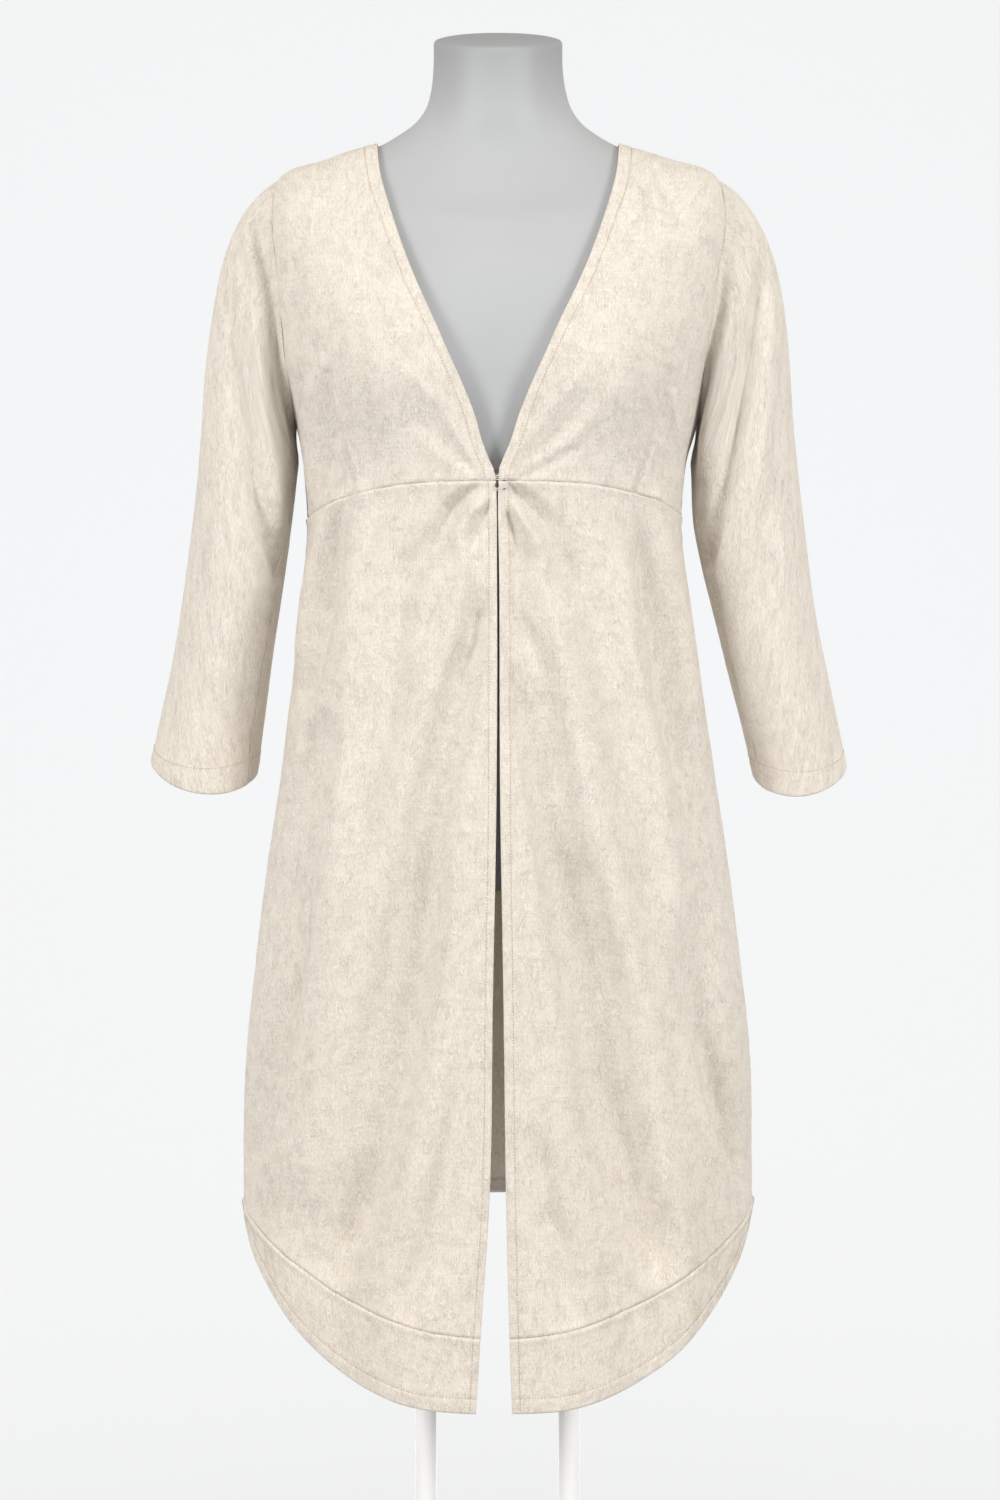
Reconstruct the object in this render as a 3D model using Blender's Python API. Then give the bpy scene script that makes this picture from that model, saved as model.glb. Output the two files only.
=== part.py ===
"""Duster coat of crinkled cream linen, worn by a limbless dress form on a twin-rod stand.

Metres, +Z up. The coat faces -Y, and left and right are the viewer's, -X and +X. The origin is
the centre of the underside of the stand's base plate.

Every panel is cut from one surface, figure(turn, level). The turn goes round the body from the
centre front, 0, to the right side seam, a quarter, and the centre back, a half. The level climbs
the side seam in metres of height and goes on along the shoulder seam and up the neck.
"""
import math

import bmesh
import bpy
import numpy as np

WALL = 0.002                    # cloth, turned edges included
SEAM = 0.0003                   # space between two pieces at a seam
QUARTER = math.pi / 2

# Levels of the seams that end on the side or shoulder line.
WAIST_SIDE = 1.1045
ARMPIT = 1.183
SHOULDER_TIP = 1.3888
NECK_POINT = 1.4765
NECK_TOP = 1.5805

WAIST_FRONT = 1.1286            # the waist seam arches up at the centre front
WAIST_HALF = 0.157
WAIST_ARCH = 3.2                # 2 is a round arch, and more is flatter along its middle
HEM_SIDE = 0.5345
HEM_FRONT = 0.376
HEM_BACK = 0.523
BAND_SIDE = 0.5368
BAND_FRONT = 0.4365
SKIRT_HALF = 0.2132             # half width where the curved hem starts
HEM_CURVE = (2.7, 1.4)          # how flat the curve is at its middle, and how upright at its end
BAND_CURVE = (2.0, 1.2)

# The coat's outer surface. side, front and back are the heights that a level has at the side
# seam, centre front and centre back; left and right are half widths; ahead and behind are
# depths; square is 2 for an ellipse and more for a boxier ring; bow is 1 for a flat tilted ring.
LEVELS = (
    # level,  side,   front,  back,   left,   right,  ahead,  behind, square, bow
    (0.3400, 0.3400, 0.3400, 0.3400, 0.2030, 0.2030, 0.1380, 0.1430, 2.30, 2.0),
    (0.4500, 0.4500, 0.4500, 0.4500, 0.2095, 0.2095, 0.1370, 0.1410, 2.30, 2.0),
    (0.5500, 0.5500, 0.5500, 0.5500, 0.2128, 0.2134, 0.1355, 0.1380, 2.30, 2.0),
    (0.6580, 0.6580, 0.6580, 0.6580, 0.2098, 0.2114, 0.1335, 0.1320, 2.30, 2.0),
    (0.7420, 0.7420, 0.7420, 0.7420, 0.2020, 0.2029, 0.1305, 0.1270, 2.30, 2.0),
    (0.8260, 0.8260, 0.8260, 0.8260, 0.1911, 0.1919, 0.1270, 0.1210, 2.30, 2.0),
    (0.9016, 0.9016, 0.9016, 0.9016, 0.1802, 0.1805, 0.1230, 0.1140, 2.30, 2.0),
    (0.9690, 0.9690, 0.9690, 0.9690, 0.1716, 0.1701, 0.1190, 0.1060, 2.30, 2.0),
    (1.0360, 1.0360, 1.0360, 1.0360, 0.1648, 0.1608, 0.1150, 0.0980, 2.30, 2.0),
    (1.0860, 1.0860, 1.0860, 1.0860, 0.1603, 0.1552, 0.1125, 0.0935, 2.30, 2.0),
    (1.1045, 1.1045, 1.1045, 1.1045, 0.1596, 0.1544, 0.1120, 0.0925, 2.30, 2.0),
    (1.1284, 1.1284, 1.1284, 1.1284, 0.1612, 0.1558, 0.1125, 0.0940, 2.32, 2.0),
    (1.1520, 1.1520, 1.1520, 1.1520, 0.1630, 0.1585, 0.1130, 0.0970, 2.35, 2.0),
    (1.1830, 1.1830, 1.1830, 1.1830, 0.1690, 0.1675, 0.1135, 0.1005, 2.40, 2.0),
    (1.2350, 1.2350, 1.2350, 1.2350, 0.1815, 0.1780, 0.1130, 0.1070, 2.70, 2.0),
    (1.2750, 1.2750, 1.2700, 1.2720, 0.1860, 0.1850, 0.1090, 0.1100, 2.90, 2.0),
    (1.3100, 1.3100, 1.2970, 1.3020, 0.1880, 0.1885, 0.1030, 0.1090, 3.00, 2.0),
    (1.3550, 1.3550, 1.3200, 1.3320, 0.1900, 0.1920, 0.0950, 0.1040, 3.00, 2.0),
    (1.3888, 1.3888, 1.3350, 1.3500, 0.1828, 0.1845, 0.0880, 0.0980, 2.80, 2.0),
    (1.4328, 1.4056, 1.3520, 1.3750, 0.1424, 0.1450, 0.0800, 0.0900, 2.60, 2.0),
    (1.4577, 1.4140, 1.3640, 1.3900, 0.1189, 0.1200, 0.0730, 0.0820, 2.45, 2.0),
    (1.4765, 1.4195, 1.3740, 1.4020, 0.1010, 0.1020, 0.0680, 0.0750, 2.30, 2.0),
    (1.4962, 1.4290, 1.3860, 1.4120, 0.0838, 0.0845, 0.0625, 0.0680, 2.20, 2.0),
    (1.5103, 1.4370, 1.3980, 1.4220, 0.0722, 0.0735, 0.0580, 0.0625, 2.10, 2.0),
    (1.5250, 1.4484, 1.4140, 1.4360, 0.0631, 0.0650, 0.0545, 0.0580, 2.05, 1.8),
    (1.5420, 1.4646, 1.4360, 1.4560, 0.0583, 0.0598, 0.0550, 0.0530, 2.00, 1.5),
    (1.5587, 1.4812, 1.4620, 1.4860, 0.0566, 0.0576, 0.0565, 0.0500, 2.00, 1.2),
    (1.5805, 1.5030, 1.4880, 1.5180, 0.0563, 0.0573, 0.0585, 0.0465, 2.00, 1.0),
)

# The front opening from the neck point to the hem, as distances to each side of the middle.
OPENING = (
    # height, left,   right
    (0.3760, 0.0173, 0.0117),
    (0.4400, 0.0133, 0.0095),
    (0.5503, 0.0062, 0.0069),
    (0.7080, 0.0036, 0.0048),
    (0.8700, 0.0010, 0.0026),
    (1.0600, 0.0006, 0.0018),
    (1.1284, 0.0011, 0.0007),
    (1.1370, 0.0017, 0.0007),
    (1.1449, 0.0046, 0.0020),
    (1.1773, 0.0170, 0.0158),
    (1.2422, 0.0440, 0.0433),
    (1.3094, 0.0730, 0.0738),
    (1.3443, 0.0848, 0.0862),
    (1.3903, 0.0975, 0.0988),
    (1.4195, 0.1010, 0.1020),
)

BUST_HEIGHT = 1.212
BUST_APART = 0.088              # from the middle to each point
BUST_RISE = 0.019
BUST_WIDTH = 0.050
BUST_ABOVE = 0.062
BUST_BELOW = 0.046
BUST_FADE = 0.050               # the bust grows to its full rise over this depth of the side

# Folds of the skirt: turn in degrees and height at the top and bottom, half width and depth
# in metres, plus for a ridge and minus for a trough, and bow, degrees added half way down.
FOLD_START = 0.35               # the share of its length over which a fold grows
FOLDS = (
    # top turn, top z, low turn, low z, half width, depth,  bow
    (-4.0, 1.120, -50.0, 0.440, 0.026, -0.0085, -6.0),
    (-12.0, 1.100, -64.0, 0.480, 0.022, 0.0060, -4.0),
    (-3.0, 1.090, -27.0, 0.400, 0.024, 0.0055, -4.0),
    (-56.0, 0.960, -74.0, 0.500, 0.022, 0.0050, 2.0),
    (-40.0, 1.080, -60.0, 0.500, 0.020, -0.0030, 0.0),
    (4.0, 1.120, 45.0, 0.440, 0.025, -0.0085, 5.0),
    (10.0, 1.110, 58.0, 0.470, 0.023, 0.0060, 4.0),
    (2.0, 1.060, 22.0, 0.400, 0.022, 0.0045, 4.0),
    (40.0, 1.060, 58.0, 0.500, 0.020, -0.0030, -2.0),
    (58.0, 0.930, 73.0, 0.500, 0.022, 0.0045, 3.0),
    (98.0, 1.060, 104.0, 0.500, 0.022, -0.0050, 2.0),
    (118.0, 1.080, 124.0, 0.490, 0.026, 0.0070, -2.0),
    (136.0, 1.050, 145.0, 0.490, 0.024, -0.0065, 2.0),
    (158.0, 1.080, 163.0, 0.490, 0.027, 0.0075, 1.0),
    (181.0, 1.000, 183.0, 0.490, 0.026, -0.0070, -2.0),
    (203.0, 1.080, 202.0, 0.490, 0.025, 0.0070, 2.0),
    (222.0, 1.040, 219.0, 0.490, 0.023, -0.0060, -2.0),
    (243.0, 1.070, 238.0, 0.490, 0.026, 0.0065, 1.0),
    (262.0, 1.050, 257.0, 0.490, 0.022, -0.0055, 0.0),
)

ARMHOLE_FRONT = 0.047           # how far the armhole seam bulges ahead of the side line
ARMHOLE_BACK = 0.055
ARMHOLE_SKEW = 0.12             # how much wider the oval is in its lower half
ARMHOLE_STEPS = 12              # wall pieces along each half of an armhole
SHOULDER_STEPS = 5
SIDE_STEPS = 4
ROW_CROWD = 1.35                # 1 spaces a bodice's rows evenly, and more crowds them at the top
BODY_REACH = 0.165              # rough radius at the side seams, turning widths into angles
SKIRT_REACH = 0.200
NECK_REACH = 0.100

# Sleeves below the armhole, from the photograph's outline. outer and inner are distances from
# the middle, centre is the ring's depth place and deep its half depth, drop lowers its front.
SLEEVE_LEFT = (
    # height, outer,  inner,  centre, deep,   drop
    (1.1520, 0.2494, 0.1672, 0.0040, 0.0560, 0.000),
    (1.1032, 0.2549, 0.1730, 0.0050, 0.0545, 0.000),
    (1.0360, 0.2642, 0.1827, 0.0060, 0.0525, 0.010),
    (0.9690, 0.2759, 0.1928, 0.0070, 0.0505, 0.060),
    (0.9300, 0.2845, 0.1980, 0.0075, 0.0495, 0.160),
    (0.8955, 0.2915, 0.2022, 0.0080, 0.0490, 0.330),
)
SLEEVE_RIGHT = (
    # height, outer,  inner,  centre, deep,   drop
    (1.1520, 0.2515, 0.1625, 0.0040, 0.0560, 0.000),
    (1.1032, 0.2562, 0.1648, 0.0050, 0.0545, 0.000),
    (1.0696, 0.2605, 0.1718, 0.0055, 0.0535, 0.005),
    (1.0360, 0.2652, 0.1805, 0.0060, 0.0525, 0.010),
    (0.9690, 0.2776, 0.1970, 0.0070, 0.0505, 0.060),
    (0.9300, 0.2855, 0.2070, 0.0075, 0.0490, 0.160),
    (0.8930, 0.2938, 0.2150, 0.0080, 0.0480, 0.330),
)
SLEEVE_LEAN = 0.13              # rise of a sleeve ring from its inner to its outer side
CUFF_CURL = 0.35                # share of the drop that only the cuff's very front takes
CAP_PULL = 0.95                 # how far the cap goes straight on before it bends down
CAP_OUT = (0.20, 0.87)          # how far outward the cap leaves the seam, armpit and shoulder
CAP_DOWN = (1.05, 0.49)         # how far downward it leaves there
CAP_BLEND = 0.12                # the share of the cap whose wall stands square to the bodice's edge
CAP_SQUARE_TOP = 1.6            # how much of the armhole has such a wall, from the shoulder down
SLEEVE_FLARE = 0.13             # outward step for each downward step where the cap ends
SLEEVE_CAP_STEPS = 7
SLEEVE_TUBE_STEPS = 9

# How far the dress form lies inside the coat's outer surface, at each level.
FORM_INSET = (
    # level, inset
    (0.7950, 0.0340),
    (0.8400, 0.0200),
    (0.9000, 0.0170),
    (0.9700, 0.0200),
    (1.0400, 0.0230),
    (1.1000, 0.0120),
    (1.1500, 0.0075),
    (1.2100, 0.0060),
    (1.3000, 0.0055),
    (1.3888, 0.0042),
    (1.4200, 0.0034),
    (1.4765, 0.0034),
    (1.5103, 0.0028),
    (1.5805, 0.0028),
)
FORM_EASE = 0.0030              # added to the inset away from the side and shoulder line
FORM_HOLLOW = 0.010             # between the bust points, at the middle
HOLLOW_WIDTH = 0.045
HOLLOW_HEIGHT = 0.070
FORM_BOTTOM = 0.795
FORM_RIM = 0.003                # the neck cap's rounded edge
FORM_RIM_SHARE = 0.06           # the same as a share of the neck's radius
FORM_AROUND = 32

ROD_APART = 0.060
ROD_RADIUS = 0.009
FLANGE_RADIUS = 0.024
FLANGE_HEIGHT = 0.005
BASE_HALF_WIDTH = 0.210
BASE_HALF_DEPTH = 0.175
BASE_HEIGHT = 0.010
BASE_EDGE = 0.003

WIRE = 0.00035                  # radius of the hook and eye wire
HOOKS = (("upper", 1.1363), ("lower", 1.1250))
HOOK_MIDDLE = 0.0002
HOOK_SPACE = 0.0004             # between the wire and the cloth
SEWING_RING = 0.0011
EYE_NOSE = 0.0015
HOOK_BEND = 0.0011
EYE_RING_PLACE = (0.0055, 0.0023)
HOOK_RING_PLACE = (-0.0050, -0.0016)
HOOK_SHANK = 0.0035
HOOK_TONGUE = 0.0018
EYE_OFFSET = 0.0008             # the eye's loop starts this far past the hook's bend

FINISHES = {
    # colour, roughness, metallic
    "linen": ((0.80, 0.73, 0.62), 0.9, 0.0),
    "form_grey": ((0.55, 0.55, 0.55), 0.6, 0.0),
    "hook_steel": ((0.12, 0.11, 0.10), 0.35, 1.0),
    "stand_white": ((0.86, 0.86, 0.86), 0.45, 0.0),
}


def follow(rows, place):
    """Read a table as smooth curves: column 0 is the place, and the rest come back at `place`."""
    rows = np.array(sorted(rows), float)
    knots, values = rows[:, 0], rows[:, 1:]
    slopes = np.gradient(values, knots, axis=0)
    place = np.clip(place, knots[0], knots[-1])
    low = np.clip(np.searchsorted(knots, place, side="right") - 1, 0, len(knots) - 2)
    span = (knots[low + 1] - knots[low])[..., None]
    s = (place - knots[low])[..., None] / span
    start = values[low] * (2 * s**3 - 3 * s**2 + 1) + values[low + 1] * (3 * s**2 - 2 * s**3)
    return start + span * (slopes[low] * (s**3 - 2 * s**2 + s) + slopes[low + 1] * (s**3 - s**2))


def stack(x, y, z):
    return np.stack(np.broadcast_arrays(x, y, z), axis=-1)


def unit(vectors):
    return vectors / np.linalg.norm(vectors, axis=-1, keepdims=True)


def ring(turn, level):
    """The coat's outer surface before its bust and folds."""
    column = np.moveaxis(follow(LEVELS, level), -1, 0)
    side, front, back, left, right, ahead, behind, square, bow = column
    half = np.where(np.sin(turn) < 0, left, right)
    deep = np.where(np.cos(turn) < 0, behind, ahead)
    middle = np.where(np.cos(turn) < 0, back, front)
    reach = (np.abs(np.sin(turn) / half) ** square + np.abs(np.cos(turn) / deep) ** square) ** (-1 / square)
    y = -reach * np.cos(turn)
    return stack(reach * np.sin(turn), y, side + (middle - side) * (np.abs(y) / deep) ** bow)


def bust(points):
    """How far the bust pushes the front forward."""
    x, y, z = np.moveaxis(points, -1, 0)
    tall = np.where(z > BUST_HEIGHT, BUST_ABOVE, BUST_BELOW)
    return BUST_RISE * np.where(y < 0, 1.0, 0.0) * np.clip(-y / BUST_FADE, 0, 1) * np.exp(
        -((np.abs(x) - BUST_APART) / BUST_WIDTH) ** 2 - ((z - BUST_HEIGHT) / tall) ** 2)


def fold_height(turn, points):
    """How far the skirt's folds stand out from its plain ring."""
    x, y, z = np.moveaxis(points, -1, 0)
    reach = np.hypot(x, y)
    total = np.zeros_like(reach)
    for top_turn, top, low_turn, low, half, depth, bow in FOLDS:
        down = np.clip((top - z) / (top - low), 0, 1.15)
        centre = np.radians(top_turn + (low_turn - top_turn) * down + bow * np.sin(math.pi * down))
        away = np.abs((turn - centre + math.pi) % (2 * math.pi) - math.pi) * reach / half
        grow = np.clip(down / FOLD_START, 0, 1)
        total += depth * grow * grow * (3 - 2 * grow) * np.exp(-away**2)
    return total


def figure(turn, level):
    """The coat's outer surface, bust and folds included."""
    points = ring(turn, level)
    rise = fold_height(turn, points)
    return points + stack(rise * np.sin(turn), -rise * np.cos(turn) - bust(points), 0.0)


def facing(surface, first, second, step=2e-4):
    """Outward normals of a surface from small steps along its two parameters."""
    along = surface(first + step, second) - surface(first - step, second)
    up = surface(first, second + step) - surface(first, second - step)
    return unit(np.cross(along, up))


def opening(height, side):
    """The front edge's distance from the middle, x, on the left (side -1) or the right (+1)."""
    edge = follow(OPENING, height)
    return edge[..., 0] if side < 0 else edge[..., 1]


def opening_turn(level, side):
    """The turn at which the front edge crosses a level."""
    low, high = np.zeros_like(level), np.full_like(level, QUARTER)
    for _ in range(30):
        half = (low + high) / 2
        point = figure(side * half, level)
        inside = np.abs(point[..., 0]) < opening(point[..., 2], side)
        low, high = np.where(inside, half, low), np.where(inside, high, half)
    return (low + high) / 2


def opening_level(height, side):
    """The level at which the front edge of a bodice front has a height."""
    levels = np.linspace(1.10, NECK_POINT, 200)
    heights = figure(side * opening_turn(levels, side), levels)[:, 2]
    return np.interp(height, heights, levels)


def waist_level(turn):
    """Height of the waist seam: arched over the front, straight round the back."""
    across = np.abs(ring(turn, np.full_like(turn, WAIST_SIDE))[..., 0]) / WAIST_HALF
    arched = WAIST_FRONT - (WAIST_FRONT - WAIST_SIDE) * np.clip(across, 0, 1) ** WAIST_ARCH
    return np.where(np.cos(turn) > 0, arched, WAIST_SIDE)


def curved_level(turn, side_height, front_height, curve):
    """Height of the curved hem or of the band's seam, a quarter of a rounded oval in front view."""
    squat, lift = curve
    height = np.full_like(turn, (side_height + front_height) / 2)
    for _ in range(6):
        across = np.clip(np.abs(figure(turn, height)[..., 0]) / SKIRT_HALF, 0, 1)
        height = front_height + (side_height - front_height) * (1 - (1 - across**squat) ** (1 / lift))
    return height


def front_hem_level(turn):
    return curved_level(turn, HEM_SIDE, HEM_FRONT, HEM_CURVE)


def band_level(turn):
    return curved_level(turn, BAND_SIDE, BAND_FRONT, BAND_CURVE)


def back_hem_level(turn):
    return HEM_BACK + (BAND_SIDE - HEM_BACK) * np.sin(turn) ** 2


def armhole(angle, side, grow):
    """Turn and level of the armhole seam. The angle goes from the shoulder tip, 0, round the front
    to the armpit, a half turn, and up the back. grow widens the oval."""
    middle, tall = (SHOULDER_TIP + ARMPIT) / 2, (SHOULDER_TIP - ARMPIT) / 2
    level = middle + (tall + grow) * np.cos(angle)
    across = np.sin(angle)
    bulge = np.where(across > 0, ARMHOLE_FRONT, ARMHOLE_BACK)
    y = -(bulge * (1 - ARMHOLE_SKEW * np.cos(angle)) + grow) * across
    column = np.moveaxis(follow(LEVELS, level), -1, 0)
    half = column[3] if side < 0 else column[4]
    deep = np.where(y > 0, column[6], column[5])
    x = half * (1 - np.abs(y / deep) ** column[7]) ** (1 / column[7])
    turn = np.arctan2(x, -y)
    return (turn if side > 0 else 2 * math.pi - turn), level


def coons(across, down, top, bottom, start, end):
    """Fill a four-sided patch between its edges, each a function of 0 to 1 giving (turn, level).
    Rows lie closer together near the top, where the shoulder is round."""
    one, two = across[..., None], down[..., None] ** ROW_CROWD
    zero, unity = np.zeros_like(across), np.ones_like(across)
    sides = (1 - one) * start(down) + one * end(down)
    ends = (1 - two) * top(across) + two * bottom(across)
    corners = ((1 - one) * (1 - two) * start(zero) + one * (1 - two) * end(zero)
               + (1 - one) * two * start(unity) + one * two * end(unity))
    return sides + ends - corners


def pair(turn, level):
    return np.stack(np.broadcast_arrays(turn, level), axis=-1)


def side_edge(down, side, front):
    """The armhole and side seam edge of a bodice panel, from the shoulder tip to the waist."""
    share = ARMHOLE_STEPS / (ARMHOLE_STEPS + SIDE_STEPS)
    angle = math.pi * np.clip(down / share, 0, 1)
    turn, level = armhole(angle if front else -angle, side, SEAM / 2)
    below = np.clip((down - share) / (1 - share), 0, 1)
    low = WAIST_SIDE + SEAM / 2
    level = np.where(down > share, ARMPIT - SEAM / 2 + (low - ARMPIT + SEAM / 2) * below, level)
    seam = QUARTER if side > 0 else 3 * QUARTER
    inward = (-1 if front else 1) * (1 if side > 0 else -1)
    line = seam + inward * SEAM / 2 / BODY_REACH
    on_line = (down >= share) | (down <= 0)
    return pair(np.where(on_line, line, turn), level)


def bodice_front(across, down, side):
    """Turn and level on a bodice front: across from the neckline to the armhole, down from the
    shoulder seam to the waist seam."""
    inner_low = WAIST_FRONT + SEAM / 2
    line = side_edge(np.zeros(1), side, True)[0, 0]
    neck = OPENING[-1][0]

    def top(u):
        return pair(line, NECK_POINT + (SHOULDER_TIP - NECK_POINT) * u)

    def start(v):
        level = opening_level(neck + (inner_low - neck) * v**ROW_CROWD, side)
        turn = opening_turn(level, side)
        turn = np.where(v <= 0, QUARTER - SEAM / 2 / NECK_REACH, turn)
        return pair(turn if side > 0 else 2 * math.pi - turn, level)

    def end(v):
        return side_edge(v, side, True)

    def bottom(u):
        first, last = start(np.ones(1))[0, 0], end(np.ones(1))[0, 0]
        turn = first + (last - first) * u
        return pair(turn, waist_level(turn) + SEAM / 2)

    return coons(across, down, top, bottom, start, end)


def back_edge(down, side):
    """The shoulder, armhole and side seam edge of the bodice back, from the neck to the waist."""
    share = SHOULDER_STEPS / (SHOULDER_STEPS + ARMHOLE_STEPS + SIDE_STEPS)
    below = side_edge(np.clip((down - share) / (1 - share), 0, 1), side, False)
    line = side_edge(np.zeros(1), side, False)[0, 0]
    level = NECK_POINT + (SHOULDER_TIP - NECK_POINT) * down / share
    return np.where((down < share)[..., None], pair(line, level), below)


def bodice_back(across, down):
    """Turn and level on the bodice back: across from the right side to the left, down from the
    neckline to the waist seam."""
    right, left = back_edge(down, 1), back_edge(down, -1)
    return right + (left - right) * across[..., None]


def front_strip(across, down, side, top, bottom):
    """Turn and level on a skirt front or a hem band, between two edge functions of the turn."""
    turn = QUARTER * across
    for _ in range(4):
        signed = turn if side > 0 else 2 * math.pi - turn
        level = top(signed) + (bottom(signed) - top(signed)) * down
        flat = figure(signed * 0, level)
        edge = np.arctan2(opening(level, side), -flat[..., 1])
        last = QUARTER - SEAM / 2 / SKIRT_REACH
        turn = edge + (last - edge) * across
    return pair(turn if side > 0 else 2 * math.pi - turn, level)


def skirt_front(across, down, side):
    return front_strip(across, down, side, lambda t: waist_level(t) - SEAM / 2,
                       lambda t: band_level(t) + SEAM / 2)


def hem_band(across, down, side):
    return front_strip(across, down, side, lambda t: band_level(t) - SEAM / 2, front_hem_level)


def skirt_back(across, down):
    half_seam = SEAM / 2 / SKIRT_REACH
    turn = QUARTER + half_seam + (2 * QUARTER - 2 * half_seam) * across
    top = waist_level(turn) - SEAM / 2
    return pair(turn, top + (back_hem_level(turn) - top) * down)


def sleeve_ring(side, angle, height):
    """A ring of the hanging sleeve. The angle goes from its outer side, 0, to its front."""
    table = SLEEVE_LEFT if side < 0 else SLEEVE_RIGHT
    outer, inner, centre, deep, drop = np.moveaxis(follow(table, height), -1, 0)
    middle, half = (outer + inner) / 2, (outer - inner) / 2
    front = np.sin(angle)
    z = height + SLEEVE_LEAN * half * np.cos(angle) - drop * deep * front
    z = z - CUFF_CURL * drop * deep * front**2
    return stack(side * (middle + half * np.cos(angle)), centre - deep * front, z)


def sleeve(side, angle, along):
    """The sleeve's outer surface: along is 0 at the armhole, 1 at the first hanging ring, 2 at
    the cuff."""
    table = SLEEVE_LEFT if side < 0 else SLEEVE_RIGHT
    first, last = table[0][0], table[-1][0]
    turn, level = armhole(angle, side, 0.0)
    seam = figure(turn, level)
    out = facing(figure, turn, level)
    upper = (1 + np.cos(angle)) / 2
    nearby = armhole(angle + 1e-3, side, 0.0)
    tangent = unit(figure(*nearby) - seam)
    past = np.cross(out, tangent) * side
    root = seam + SEAM * unit(past * upper[..., None] + out * (1 - upper)[..., None])
    target = sleeve_ring(side, angle, np.full_like(angle, first))
    outward = CAP_OUT[0] + (CAP_OUT[1] - CAP_OUT[0]) * upper
    downward = CAP_DOWN[0] + (CAP_DOWN[1] - CAP_DOWN[0]) * upper
    tangent_in = unit(stack(side * outward, 0.0, -downward))
    tangent_out = unit(stack(side * SLEEVE_FLARE, 0.0, -1.0))
    span = np.linalg.norm(target - root, axis=-1, keepdims=True)
    s = np.clip(along, 0, 1)[..., None]
    cap = (root * (2 * s**3 - 3 * s**2 + 1) + target * (3 * s**2 - 2 * s**3)
           + tangent_in * span * CAP_PULL * (s**3 - 2 * s**2 + s) + tangent_out * span * (s**3 - s**2))
    tube = sleeve_ring(side, angle, first + (last - first) * np.clip(along - 1, 0, 1))
    return np.where(along[..., None] <= 1, cap, tube)


def sleeve_wall(side, angle, along):
    """Outer points and normals of the sleeve. At the shoulder its edge meets the bodice's edge
    face to face, so both walls share a normal there."""
    def surface(first, second):
        return sleeve(side, first, second)

    ahead = np.clip(along + 2e-3, 0, 2)
    behind = np.clip(along - 2e-3, 0, 2)
    along_step = surface(angle, ahead) - surface(angle, behind)
    round_step = surface(angle + 1e-3, along) - surface(angle - 1e-3, along)
    normal = unit(np.cross(round_step, along_step)) * side
    turn, level = armhole(angle, side, 0.0)
    shared = facing(figure, turn, level)
    top = np.clip(np.cos(angle) * CAP_SQUARE_TOP, 0, 1)
    weight = (np.clip(1 - along / CAP_BLEND, 0, 1) * top)[..., None]
    return surface(angle, along), unit(normal * (1 - weight) + shared * weight)


def wall(name, place, across, down, closed=False):
    """A closed wall of cloth: place(u, v) gives outer points and normals on a grid of 0 to 1."""
    mesh = bpy.data.meshes.new(name)
    body = bmesh.new()
    bmesh.ops.create_grid(body, x_segments=across, y_segments=down, size=0.5)
    body.verts.ensure_lookup_table()
    flat = np.array([vertex.co[:2] for vertex in body.verts]) + 0.5
    outer, normal = place(flat[:, 0], flat[:, 1])
    inner = outer - WALL * normal
    order = body.verts.layers.int.new("order")
    for index, vertex in enumerate(body.verts):
        vertex[order] = index
        vertex.co = outer[index]
    if closed:
        bmesh.ops.remove_doubles(body, verts=body.verts[:], dist=1e-6)
    moved = bmesh.ops.extrude_face_region(body, geom=body.faces[:], use_keep_orig=True)
    for vertex in moved["geom"]:
        if isinstance(vertex, bmesh.types.BMVert):
            vertex.co = inner[vertex[order]]
    bmesh.ops.recalc_face_normals(body, faces=body.faces[:])
    body.to_mesh(mesh)
    body.free()
    return finish(name, mesh, "linen")


def finish(name, data, slot):
    """Put a mesh or curve in the scene with its material."""
    material = bpy.data.materials.get(slot)
    if material is None:
        colour, roughness, metallic = FINISHES[slot]
        material = bpy.data.materials.new(slot)
        material.use_nodes = True
        shader = material.node_tree.nodes["Principled BSDF"]
        shader.inputs["Base Color"].default_value = (*colour, 1.0)
        shader.inputs["Roughness"].default_value = roughness
        shader.inputs["Metallic"].default_value = metallic
    data.materials.append(material)
    if isinstance(data, bpy.types.Mesh):
        data.shade_smooth()
        data.set_sharp_from_angle(angle=math.radians(40))
    item = bpy.data.objects.new(name, data)
    bpy.context.scene.collection.objects.link(item)
    return item


def on_figure(region):
    """Turn a panel's (turn, level) region into the outer points and normals that wall() takes."""
    def place(u, v):
        turn, level = np.moveaxis(region(u, v), -1, 0)
        return figure(turn, level), facing(figure, turn, level)
    return place


def make_coat():
    rows = ARMHOLE_STEPS + SIDE_STEPS
    for side, name in ((-1, "left"), (1, "right")):
        wall(f"bodice_front_{name}", on_figure(lambda u, v: bodice_front(u, v, side)), 12, rows)
        wall(f"skirt_front_{name}", on_figure(lambda u, v: skirt_front(u, v, side)), 15, 20)
        wall(f"hem_band_{name}", on_figure(lambda u, v: hem_band(u, v, side)), 15, 3)
        steps = SLEEVE_CAP_STEPS + SLEEVE_TUBE_STEPS

        def place(u, v):
            split = SLEEVE_CAP_STEPS / steps
            along = np.where(v < split, v / split, 1 + (v - split) / (1 - split))
            return sleeve_wall(side, 2 * math.pi * (u % 1.0), along)

        wall(f"sleeve_{name}", place, 2 * ARMHOLE_STEPS, steps, closed=True)
    wall("bodice_back", on_figure(bodice_back), 22, SHOULDER_STEPS + rows)
    wall("skirt_back", on_figure(skirt_back), 30, 18)


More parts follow.
